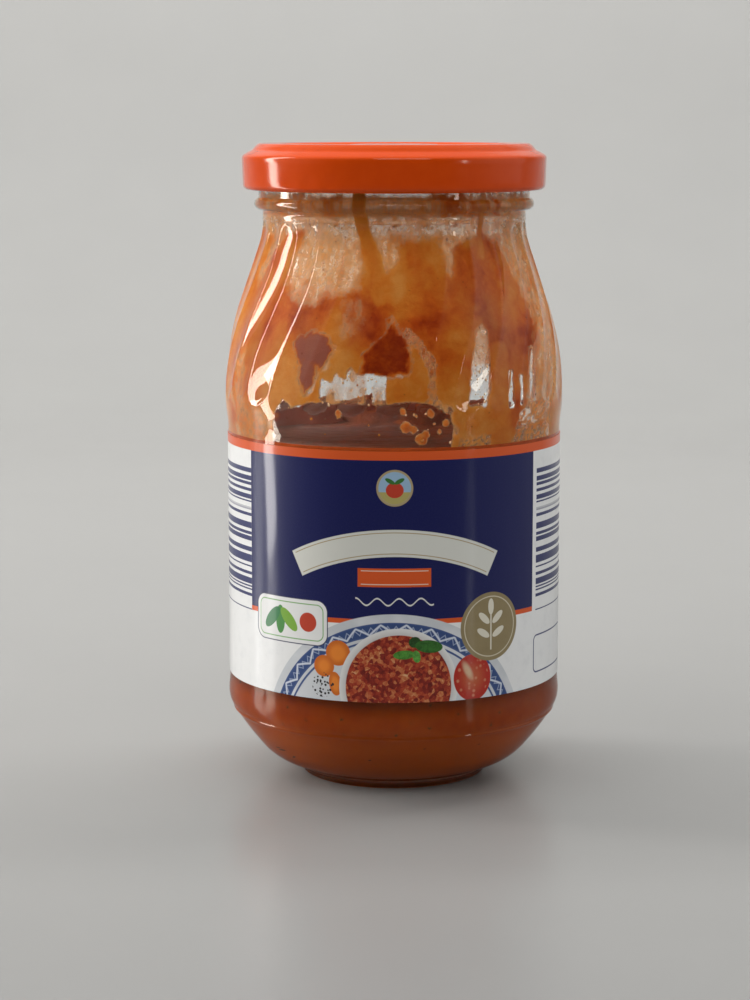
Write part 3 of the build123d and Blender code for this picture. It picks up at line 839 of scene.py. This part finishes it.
# ---- sauce
def sauce_mat(name):
    t = Tree(name)
    o = t.obj()
    big = t.noise(o, 0.09, 3.0)
    mid = t.noise(o, 0.5, 4.0)
    grain = t.noise(o, 2.5, 3.0, 0.6)
    f = t.add(t.mul(big, 0.6), t.mul(mid, 0.4))
    col = t.colours(f, [(0.30, (0.230, 0.027, 0.001)), (0.50, (0.283, 0.040, 0.001)), (0.72, (0.338, 0.058, 0.003))])
    bits = t.voronoi(o, 0.28, rand=1.0)
    col = t.mix(t.mul(t.ramp01(bits, 0.16, 0.08), t.ramp01(grain, 0.45, 0.6)), col, (0.05, 0.035, 0.008))
    up = t.new("ShaderNodeAttribute", attribute_name="surface").outputs["Fac"]
    col = t.mix(up, col, t.mix(t.ramp01(mid, 0.35, 0.65), (0.110, 0.018, 0.003), (0.168, 0.035, 0.009)))
    at = t.new("ShaderNodeSeparateXYZ")
    t.nt.links.new(o, at.inputs[0])
    # painted sheen: the top surface turns lighter mauve towards the left, standing for the window's reflection on it
    col = t.mix(t.mul(t.mul(up, t.ramp01(at.outputs[0], -3.0, -25.0)), 0.60), col, (0.235, 0.150, 0.128))
    # painted light: below about 18 mm the filling turns lighter orange, standing for light bounced up from the floor
    # onto the heel
    col = t.mix(t.mul(t.ramp01(at.outputs[2], 18.0, 11.0), 0.70), col, (0.46, 0.088, 0.005))
    for fx, fy, fz, lx, lz in ((-23.7, -17.3, 9.1, 0.75, 0.22), (-24.6, -16.6, 9.5, 0.45, 0.16), (-21.1, -19.0, 7.9, 0.32, 0.26), (18.0, -24.0, 12.5, 0.35, 0.15), (-5.0, -28.8, 9.6, 0.30, 0.14), (6.5, -30.6, 12.6, 0.25, 0.12)):
        dx, dz = t.mul(t.sub(at.outputs[0], fx), 1 / lx), t.mul(t.sub(at.outputs[2], fz), 1 / lz)
        near = t.hyp(t.hyp(dx, t.add(dz, t.mul(dx, -0.5))), t.mul(t.sub(at.outputs[1], fy), 1 / 3.0))
        col = t.mix(t.mul(t.ramp01(near, 1.5, 0.7), 0.85), col, (0.030, 0.018, 0.006))
    b = t.bsdf(Base_Color=col, Roughness=t.add(t.mul(grain, 0.15), t.m("MULTIPLY_ADD", up, 0.20, 0.25)), Specular_IOR_Level=0.045, Subsurface_Weight=0.10, Subsurface_Scale=0.002)
    b.inputs["Subsurface Radius"].default_value = (1.0, 0.35, 0.12)
    hh = t.add(t.mul(mid, 0.6), t.mul(grain, 0.4))
    t.nt.links.new(t.bump(t.mul(hh, up), 0.35, 0.0005), b.inputs["Normal"])
    return t.finish(b.outputs[0])


assign(sauce, sauce_mat("sauce_body"))


def film_mat(name):
    t = Tree(name)
    o = t.obj()
    film = t.new("ShaderNodeAttribute", attribute_name="film").outputs["Fac"]
    tn = t.new("ShaderNodeAttribute", attribute_name="tone").outputs["Fac"]
    fine = t.noise(o, 1.7, 5.0, 0.65, 0.8)
    mid = t.noise(o, 0.40, 4.0, 0.62, 0.4)
    spots = t.voronoi(o, 0.55)
    body = t.add(film, t.mul(t.sub(fine, 0.5), t.ramp01(film, 0.05, 0.5, 0.20, 0.42)))
    alpha = t.ramp01(body, -0.06, 0.50)
    deep = t.add(tn, t.add(t.mul(t.sub(mid, 0.5), 0.9), t.mul(t.sub(fine, 0.5), 0.35)))
    col = t.colours(t.ramp01(deep, -0.05, 1.45, kind="LINEAR"), [
        (0.0, (0.74, 0.340, 0.065)), (0.24, (0.68, 0.235, 0.024)), (0.46, (0.60, 0.130, 0.008)), (0.64, (0.46, 0.063, 0.003)), (0.80, (0.32, 0.031, 0.002)), (1.0, (0.17, 0.016, 0.001))])
    mauve_and_painted_shade_fac = t.new("ShaderNodeAttribute", attribute_name="mauve_and_painted_shade").outputs["Fac"]
    # mauve mix: partly the sauce's own mauve, partly painted shade
    col = t.mix(mauve_and_painted_shade_fac, col, (0.36, 0.125, 0.088))
    pale = t.ramp01(t.add(film, t.mul(t.sub(fine, 0.5), 0.55)), 0.52, 0.06)
    col = t.mix(t.mul(pale, 0.85), col, (0.78, 0.52, 0.275))
    col = t.mix(t.mul(t.ramp01(spots, 0.10, 0.05), t.ramp01(mid, 0.5, 0.62)), col, (0.16, 0.030, 0.006))
    b = t.bsdf(Base_Color=col, Roughness=0.34, Specular_IOR_Level=0.10)
    wr = t.noise(o, 3.2, 4.0, 0.6, 1.2)
    t.nt.links.new(t.bump(t.add(t.mul(fine, 0.7), t.mul(wr, 0.3)), 0.5, 0.0005), b.inputs["Normal"])
    tl = t.new("ShaderNodeBsdfTranslucent")
    t.nt.links.new(t.mix(t.mul(t.ramp01(t.add(tn, mauve_and_painted_shade_fac), 1.1, 0.7), 0.42), col, (0.95, 0.42, 0.10)), tl.inputs[0])
    m1 = t.new("ShaderNodeMixShader")
    m1.inputs[0].default_value = 0.50
    t.nt.links.new(b.outputs[0], m1.inputs[1])
    t.nt.links.new(tl.outputs[0], m1.inputs[2])
    tr = t.new("ShaderNodeBsdfTransparent")
    m2 = t.new("ShaderNodeMixShader")
    t.nt.links.new(alpha, m2.inputs[0])
    t.nt.links.new(tr.outputs[0], m2.inputs[1])
    t.nt.links.new(m1.outputs[0], m2.inputs[2])
    return t.finish(m2.outputs[0])


fm = film_mat("sauce_film")
assign(film_front, fm)
assign(film_back, fm)


def drop_mat(name, lo, hi):
    t = Tree(name)
    tone = t.new("ShaderNodeAttribute", attribute_name="tone")
    n = t.noise(t.obj(), 1.5, 2.0)
    col = t.mix(t.m("MULTIPLY_ADD", tone.outputs["Fac"], 0.7, t.mul(n, 0.3)), lo, hi)
    b = t.bsdf(Base_Color=col, Roughness=0.18, Specular_IOR_Level=0.5, Coat_Weight=0.3)
    return t.finish(b.outputs[0])


assign(speck_ob, drop_mat("sauce_speck", (0.10, 0.022, 0.008), (0.36, 0.12, 0.03)))
# light bead colours: partly the thin sauce's own pale tone, partly painted glint
assign(beads_painted_glint_ob, drop_mat("sauce_bead_painted_glint", (0.62, 0.30, 0.10), (0.85, 0.62, 0.40)))
assign(drop_ob, drop_mat("sauce_drop", (0.50, 0.15, 0.016), (0.56, 0.22, 0.035)))

# ---- printed label: every motif is a plain shape placed by arc length (x) and height (z), in mm
p = Tree("label_print")
o = p.obj()
sep = p.new("ShaderNodeSeparateXYZ")
p.nt.links.new(o, sep.inputs[0])
ang = p.m("ARCTAN2", sep.outputs[0], p.mul(sep.outputs[1], -1.0))
X = p.mul(ang, LABEL_R)
Zc = sep.outputs[2]
flatv = p.new("ShaderNodeCombineXYZ")
p.nt.links.new(X, flatv.inputs[0]); p.nt.links.new(Zc, flatv.inputs[1])
FV = flatv.outputs[0]
WHITE, NAVY, ORANGE = (0.80, 0.80, 0.785), (0.0030, 0.0058, 0.078), (0.66, 0.090, 0.012)


def rect(x0, x1, z0, z1, r=0.0):
    dx = p.sub(p.ab(p.sub(X, (x0 + x1) / 2)), (x1 - x0) / 2 - r)
    dz = p.sub(p.ab(p.sub(Zc, (z0 + z1) / 2)), (z1 - z0) / 2 - r)
    if r == 0:
        return p.mx(dx, dz)
    return p.sub(p.hyp(p.mx(dx, 0.0), p.mx(dz, 0.0)), r)


def disc(cx, cz, r, sx=1.0, sz=1.0, turn=0.0):
    dx, dz = p.sub(X, cx), p.sub(Zc, cz)
    if turn:
        c, s_ = math.cos(turn), math.sin(turn)
        dx, dz = p.add(p.mul(dx, c), p.mul(dz, s_)), p.sub(p.mul(dz, c), p.mul(dx, s_))
    if sx != 1:
        dx = p.mul(dx, 1 / sx)
    if sz != 1:
        dz = p.mul(dz, 1 / sz)
    return p.sub(p.hyp(dx, dz), r)


def paint(col, d, ink, aa=0.09):
    return p.mix(p.edge(d, aa), col, ink)


paper = p.noise(FV, 0.35, 4.0, 0.6)
fibre = p.noise(FV, 3.0, 3.0, 0.6)
base = p.mix(p.mul(p.ramp01(paper, 0.45, 0.75), 0.5), WHITE, (0.70, 0.705, 0.70))
col = base
# navy front field and side rules
col = paint(col, rect(-36.5, 35.1, 40.9, 76), NAVY)
col = paint(col, rect(-36.5, 35.1, 40.25, 41.3), ORANGE)
# plate
pr = p.hyp(X, p.sub(Zc, 11.3))
rimcol = p.mix(p.ramp01(p.noise(FV, 0.12, 2.0), 0.4, 0.7), (0.56, 0.58, 0.60), (0.72, 0.73, 0.74))
col = paint(col, p.sub(pr, 31.2), rimcol, 0.14)
# zig-zag band
phi = p.m("ARCTAN2", X, p.sub(Zc, 11.3))
rho = p.mul(p.sub(pr, 26.8), 1 / 2.4)
tri = p.m("PINGPONG", p.mul(phi, 10.5), 1.0)
tri2 = p.m("PINGPONG", p.add(p.mul(phi, 31.5), 0.4), 1.0)
band = p.mx(p.sub(pr, 29.2), p.sub(26.8, pr))
zig = p.sub(p.ab(p.sub(rho, p.m("MULTIPLY_ADD", tri, 0.8, 0.1))), 0.10)
zig2 = p.sub(p.ab(p.sub(rho, p.m("MULTIPLY_ADD", tri2, 0.5, 0.25))), 0.07)
bcol = p.mix(p.edge(zig2, 0.08), (0.035, 0.07, 0.20), (0.30, 0.36, 0.50))
bcol = p.mix(p.edge(zig, 0.10), bcol, (0.62, 0.66, 0.74))
col = p.mix(p.edge(band, 0.1), col, bcol)
for rr, hw in ((29.25, 0.14), (26.7, 0.14), (25.7, 0.22)):
    col = paint(col, p.sub(p.ab(p.sub(pr, rr)), hw), (0.05, 0.09, 0.24))
well = p.sub(pr, 25.3)
col = paint(col, well, (0.62, 0.64, 0.66), 0.5)
# carrot slices
for cx, cz, r, sx, sz, tn in ((-12.1, 33.7, 2.75, 1, 1, 0), (-12.7, 27.0, 2.6, 0.55, 1, 0.15), (-15.3, 30.7, 2.35, 1, 1, 0)):
    dd = disc(cx, cz, r, sx, sz, tn)
    oc = p.mix(p.ramp01(dd, -1.7, -0.3), (0.80, 0.235, 0.026), (0.62, 0.145, 0.014))
    col = paint(col, dd, oc, 0.12)
# pepper grains
gr = p.sub(p.voronoi(FV, 1.5, rand=0.9), 0.40)
grz = p.mx(gr, disc(-15.6, 26.6, 2.6, 1.0, 1.05))
col = paint(col, grz, (0.03, 0.028, 0.03), 0.1)
# bowl
bowl = disc(1.1, 26.5, 12.9)
bw = p.mix(p.ramp01(bowl, -1.5, 0.0), (0.60, 0.58, 0.56), (0.74, 0.74, 0.72))
col = paint(col, bowl, bw, 0.12)
inb = disc(1.1, 26.5, 11.45)
v1 = p.voronoi(FV, 1.25, out="Color")
sepc = p.new("ShaderNodeSeparateColor")
p.nt.links.new(v1, sepc.inputs[0])
n1 = p.noise(FV, 0.9, 5.0, 0.7, 0.8)
mince = p.add(p.mul(sepc.outputs[0], 0.45), p.mul(n1, 0.75))
mc = p.colours(p.ramp01(mince, 0.25, 0.95, kind="LINEAR"), [(0.0, (0.075, 0.004, 0.004)), (0.35, (0.24, 0.018, 0.008)), (0.62, (0.42, 0.055, 0.018)), (0.85, (0.56, 0.20, 0.07)), (1.0, (0.72, 0.42, 0.22))])
col = paint(col, inb, mc, 0.12)
# leaves in the bowl
for cx, cz, r, sx, sz, tn, gc in ((4.5, 36.4, 1.3, 1.0, 0.9, 0.3, (0.012, 0.045, 0.008)), (7.6, 35.4, 3.0, 1.0, 0.46, -0.10, (0.020, 0.085, 0.012)), (2.2, 33.7, 2.3, 1.0, 0.42, 0.06, (0.045, 0.16, 0.020)), (4.9, 33.3, 1.15, 0.75, 1.15, 0.2, (0.06, 0.20, 0.03))):
    dd = disc(cx, cz, r, sx, sz, tn)
    lc = p.mix(p.ramp01(n1, 0.35, 0.65), gc, tuple(min(1, v * 2.0) for v in gc))
    col = paint(col, dd, lc, 0.12)
# tomato half
tom = disc(17.6, 28.0, 5.0, 0.9, 1.02, 0.1)
tc = p.mix(p.ramp01(tom, -4.4, -0.5), (0.50, 0.10, 0.035), (0.42, 0.022, 0.010))
core = disc(16.4, 29.6, 1.5, 0.55, 1.5, 0.5)
tc = p.mix(p.ramp01(core, 0.6, -0.9), tc, (0.62, 0.42, 0.26))
seeds = p.mx(p.sub(p.voronoi(FV, 0.75, rand=1.0), 0.26), p.add(tom, 0.7))
tc = p.mix(p.mul(p.edge(seeds, 0.2), 0.6), tc, (0.66, 0.33, 0.18))
col = paint(col, tom, tc, 0.12)
# gold roundel with a plain leaf sprig
bd = disc(22.1, 38.7, 7.45)
gc = p.mix(paper, (0.235, 0.180, 0.085), (0.30, 0.235, 0.12))
col = paint(col, bd, gc, 0.12)
col = paint(col, p.sub(p.ab(p.add(bd, 0.95)), 0.11), (0.62, 0.56, 0.42))
for cx, cz, tn in ((20.4, 40.6, 0.75), (23.9, 40.6, -0.75), (20.2, 37.4, 0.55), (24.1, 37.4, -0.55), (22.15, 43.0, 1.57)):
    col = paint(col, disc(cx, cz, 1.75, 1.0, 0.42, -tn if cx < 22 else -tn), (0.70, 0.66, 0.54))
col = paint(col, rect(21.98, 22.32, 33.6, 42.0), (0.70, 0.66, 0.54))
# emblem: gold ring round a plain two-leaf fruit
em = disc(0.2, 69.45, 3.9)
col = paint(col, em, (0.40, 0.31, 0.17))
col = paint(col, p.add(em, 0.45), (0.30, 0.45, 0.60))
col = paint(col, p.mx(p.add(em, 0.45), p.sub(Zc, 68.6)), (0.42, 0.36, 0.12))
col = paint(col, disc(0.2, 69.0, 1.75, 1.08, 0.95), (0.50, 0.045, 0.02))
for tn in (0.5, -0.5):
    col = paint(col, disc(0.2 + (1.0 if tn > 0 else -1.0), 70.9, 1.15, 1.0, 0.40, tn), (0.04, 0.16, 0.03))
# arched blank banner where the name stood
ar = p.hyp(p.sub(X, 0.3), p.sub(Zc, 9.3))
arph = p.m("ARCTAN2", p.sub(X, 0.3), p.sub(Zc, 9.3))
dban = p.mx(p.sub(p.ab(p.sub(ar, 48.4)), 2.9), p.mul(p.sub(p.ab(arph), 0.475), 48.4))
col = paint(col, dban, (0.66, 0.66, 0.60), 0.1)
dln = p.mx(p.sub(p.ab(p.sub(p.ab(p.sub(ar, 48.4)), 2.25)), 0.10), p.mul(p.sub(p.ab(arph), 0.462), 48.4))
col = paint(col, dln, (0.40, 0.31, 0.17), 0.08)
# orange plate with two thin rules
col = paint(col, rect(-7.7, 8.0, 48.3, 52.3), ORANGE)
for z_ in (51.75, 48.85):
    col = paint(col, rect(-7.0, 7.4, z_ - 0.09, z_ + 0.09), (0.75, 0.62, 0.50))
# thin wavy flourish
wy = p.m("SINE", p.mul(X, 1.35))
fl = p.mx(p.sub(p.ab(p.sub(p.sub(Zc, 45.1), p.mul(wy, 0.75))), 0.17), p.sub(p.ab(p.sub(X, 0.2)), 8.4))
col = paint(col, fl, (0.70, 0.70, 0.66), 0.12)
# blank rounded panel at the left with plain leaf
pn = rect(-33.9, -14.6, 35.0, 44.6, 2.4)
col = paint(col, p.sub(pn, 0.22), (0.03, 0.035, 0.09))
col = paint(col, pn, (0.78, 0.78, 0.76))
col = paint(col, p.sub(p.ab(p.add(pn, 0.9)), 0.12), (0.22, 0.42, 0.16))
for cx, cz, sx, tn, gc in ((-26.6, 39.7, 0.42, 0.0, (0.07, 0.26, 0.06)), (-24.2, 39.9, 0.42, -0.75, (0.20, 0.40, 0.05)), (-29.0, 39.9, 0.42, 0.75, (0.04, 0.20, 0.07))):
    col = paint(col, disc(cx, cz, 3.1, sx, 1.0, -tn), gc, 0.1)
col = paint(col, disc(-19.2, 39.8, 2.1), (0.50, 0.05, 0.02), 0.1)
# small empty box at the right
bx = rect(35.9, 54.0, 26.4, 34.6, 1.2)
col = paint(col, p.sub(p.ab(bx), 0.16), (0.03, 0.04, 0.14))
# stacked rules on both side panels
line = p.voronoi(p.stretch(FV, 0.0, 1.0, 0.0), 0.62, rand=1.0)
n2 = p.new("ShaderNodeTexWhiteNoise", noise_dimensions="1D")
p.nt.links.new(p.m("FLOOR", p.mul(Zc, 1 / 0.34)), n2.inputs["W"])
stripe = p.sub(0.46, n2.outputs["Value"])
side = p.mx(p.mx(p.sub(36.5, p.ab(X)), p.sub(p.ab(X), 57.0)), p.sub(p.ab(p.sub(Zc, 55.8)), 15.6))
side = p.mx(side, p.sub(35.2, p.ab(X)))
col = paint(col, p.mx(side, p.mul(stripe, 3.0)), (0.035, 0.042, 0.13), 0.06)
# back panel: navy block with plain light rules
bk = p.sub(PI * LABEL_R, p.ab(X))
dblock = p.mx(p.sub(bk, 42.0), p.sub(p.ab(p.sub(Zc, 57.0)), 12.5))
col = paint(col, dblock, NAVY)
rl = p.m("PINGPONG", p.sub(Zc, 46.2), 1.25)
drules = p.mx(p.mx(p.sub(p.ab(p.sub(bk, 21.0)), 17.0), p.sub(p.ab(p.sub(Zc, 57.0)), 10.2)), p.sub(rl, 0.18))
col = paint(col, drules, (0.62, 0.62, 0.60))
dtab = p.mx(p.sub(p.ab(p.sub(bk, 21.0)), 17.5), p.sub(p.ab(p.sub(Zc, 33.5)), 6.5))
tl = p.m("PINGPONG", p.sub(Zc, 27.0), 1.3)
col = paint(col, p.mx(dtab, p.sub(tl, 0.10)), (0.10, 0.11, 0.22))
col = paint(col, p.sub(p.ab(dtab), 0.13), (0.10, 0.11, 0.22))
# stripe all round the top
col = paint(col, p.sub(75.3, Zc), ORANGE)
# slight print mottle
col = p.mix(p.mul(p.ramp01(fibre, 0.35, 0.75), 0.012), col, (0.5, 0.5, 0.5))
pb = p.bsdf(Base_Color=col, Roughness=p.m("MULTIPLY_ADD", fibre, 0.10, 0.36), Specular_IOR_Level=0.22, Coat_Weight=0.70, Coat_Roughness=0.11)
p.nt.links.new(p.bump(p.add(p.mul(fibre, 0.6), p.mul(paper, 0.4)), 0.10, 0.00015), pb.inputs["Normal"])
assign(label, p.finish(pb.outputs[0]))

# ================================================================== stage, light, camera
def plain(name, colr, rough):
    t = Tree(name)
    n = t.noise(t.obj(), 0.02, 3.0)
    c = t.mix(n, tuple(v * 0.97 for v in colr), tuple(min(1, v * 1.03) for v in colr))
    b = t.bsdf(Base_Color=c, Roughness=rough, Specular_IOR_Level=0.4)
    return t, b


sweep = [(-1600.0, 0.0), (-400.0, 0.0), (0.0, 0.0), (560.0, 0.0)] + [(560 + 380 * math.sin(k * PI / 32), 380 - 380 * math.cos(k * PI / 32)) for k in range(1, 17)] + [(940.0, 1100.0)]
sv = np.array([[x_, y_, z_] for y_, z_ in sweep for x_ in (-1900.0, -600.0, 0.0, 600.0, 1900.0)])
sq = np.array([[i_ * 5 + j_, i_ * 5 + j_ + 1, (i_ + 1) * 5 + j_ + 1, (i_ + 1) * 5 + j_] for i_ in range(len(sweep) - 1) for j_ in range(4)])
floor = make_mesh("stage_floor", sv, sq)
t, b = plain("stage_floor_mat", (0.255, 0.252, 0.244), 0.30)
path = t.new("ShaderNodeLightPath")
place = t.new("ShaderNodeSeparateXYZ")
t.nt.links.new(t.obj(), place.inputs[0])
# painted shade seen only in reflections: glossy, non-transmission rays that hit the floor near the jar see it mixed
# 60 percent towards near black, standing for the shaded table under the jar
near = t.mul(t.ramp01(place.outputs[1], 500.0, 200.0), t.ramp01(place.outputs[2], 20.0, 2.0))
floor_shade_painted_in_reflections = t.mul(t.mul(path.outputs["Is Glossy Ray"], t.sub(1.0, path.outputs["Is Transmission Ray"])), near)
t.put(b.inputs["Base Color"], t.mix(t.mul(floor_shade_painted_in_reflections, 0.60), b.inputs["Base Color"].links[0].from_socket, (0.03, 0.029, 0.028)))
assign(floor, t.finish(b.outputs[0]))
world = bpy.data.worlds.new("soft_room")
bpy.context.scene.world = world
world.use_nodes = True
wn = world.node_tree
wn.nodes.clear()


def wnode(kind, **props):
    n_ = wn.nodes.new(kind)
    for k_, v_ in props.items():
        setattr(n_, k_, v_)
    return n_


wtc = wnode("ShaderNodeTexCoord")
wdot = wnode("ShaderNodeVectorMath", operation="DOT_PRODUCT")
wn.links.new(wtc.outputs["Generated"], wdot.inputs[0])
wdot.inputs[1].default_value = (0.0, -0.985, 0.17)
wmap = wnode("ShaderNodeMapRange", interpolation_type="SMOOTHSTEP", clamp=True)
wn.links.new(wdot.outputs["Value"], wmap.inputs[0])
for k_, v_ in zip((1, 2, 3, 4), (0.80, 0.05, 0.02, 0.49)):
    wmap.inputs[k_].default_value = v_
wb1 = wnode("ShaderNodeBackground")
wb1.inputs[0].default_value = (0.96, 0.975, 1.0, 1)
wn.links.new(wmap.outputs[0], wb1.inputs[1])
wb2 = wnode("ShaderNodeBackground")
wb2.inputs[0].default_value = (0.60, 0.595, 0.57, 1)
wlp = wnode("ShaderNodeLightPath")
wmix = wnode("ShaderNodeMixShader")
wn.links.new(wlp.outputs["Is Camera Ray"], wmix.inputs[0])
wn.links.new(wb1.outputs[0], wmix.inputs[1])
wn.links.new(wb2.outputs[0], wmix.inputs[2])
wo = wnode("ShaderNodeOutputWorld")
wn.links.new(wmix.outputs[0], wo.inputs[0])


def area(name, at, look, w, h, power, tint=(1, 1, 1), glossy=True, lean=None):
    d = bpy.data.lights.new(name, "AREA")
    d.shape = "RECTANGLE"
    d.size, d.size_y = w, h
    d.energy = power
    d.color = tint
    ob = bpy.data.objects.new(name, d)
    bpy.context.scene.collection.objects.link(ob)
    ob.location = at
    ob.rotation_euler = (Vector(look) - Vector(at)).to_track_quat("-Z", "Y").to_euler()
    ob.visible_camera = False
    ob.visible_glossy = glossy
    if lean is not None:
        z_ = (Vector(at) - Vector(look)).normalized()
        y_ = Vector(lean).normalized()
        x_ = y_.cross(z_).normalized()
        y_ = z_.cross(x_)
        ob.rotation_euler = Matrix((x_, y_, z_)).transposed().to_euler()
    return ob


area("window_left", (-0.96, 0.27, 0.52), (0, 0, 0.10), 0.18, 0.85, 5.8, (1.0, 0.985, 0.965))
area("window_low", (-0.321, 0.021, 0.070), (-0.026, -0.024, 0.070), 0.044, 0.158, 0.24, (1.0, 0.97, 0.95), lean=(0.010, 0.070, 0.124))
area("soft_left", (-0.70, -0.46, 0.82), (0, 0, 0.08), 0.9, 0.9, 5.2, (1.0, 0.99, 0.98), glossy=False)
area("soft_right", (0.90, -0.42, 0.42), (0, 0, 0.06), 0.8, 0.7, 2.4, (0.99, 0.99, 1.0), glossy=False)
area("window_right", (0.75, -0.57, 0.20), (0, 0, 0.10), 0.06, 0.16, 0.22, (0.95, 0.97, 1.0))
area("soft_top", (0.10, -0.75, 1.05), (0, 0, 0.05), 0.7, 0.5, 3.5, (1, 1, 1))
area("soft_back", (0.0, 0.30, 0.95), (0, 0.94, 0.20), 1.6, 0.25, 21.0, (1, 1, 0.99), glossy=False)

cam_d, cam_h, focal_px, tilt, yaw = 0.56378, 0.14715, 2536.1, 0.1511, math.atan((394.0 - 375.0) / 2536.1)
cd = bpy.data.cameras.new("camera")
cd.sensor_fit = "VERTICAL"
cd.sensor_height = 36.0
cd.lens = focal_px / 1000.0 * 36.0
cd.clip_start, cd.clip_end = 0.01, 20
cam = bpy.data.objects.new("camera", cd)
bpy.context.scene.collection.objects.link(cam)
cam.location = (0, -cam_d, cam_h)
cam.rotation_euler = (PI / 2 - tilt, 0, yaw)
bpy.context.scene.camera = cam
bpy.context.scene.view_settings.view_transform = "Standard"
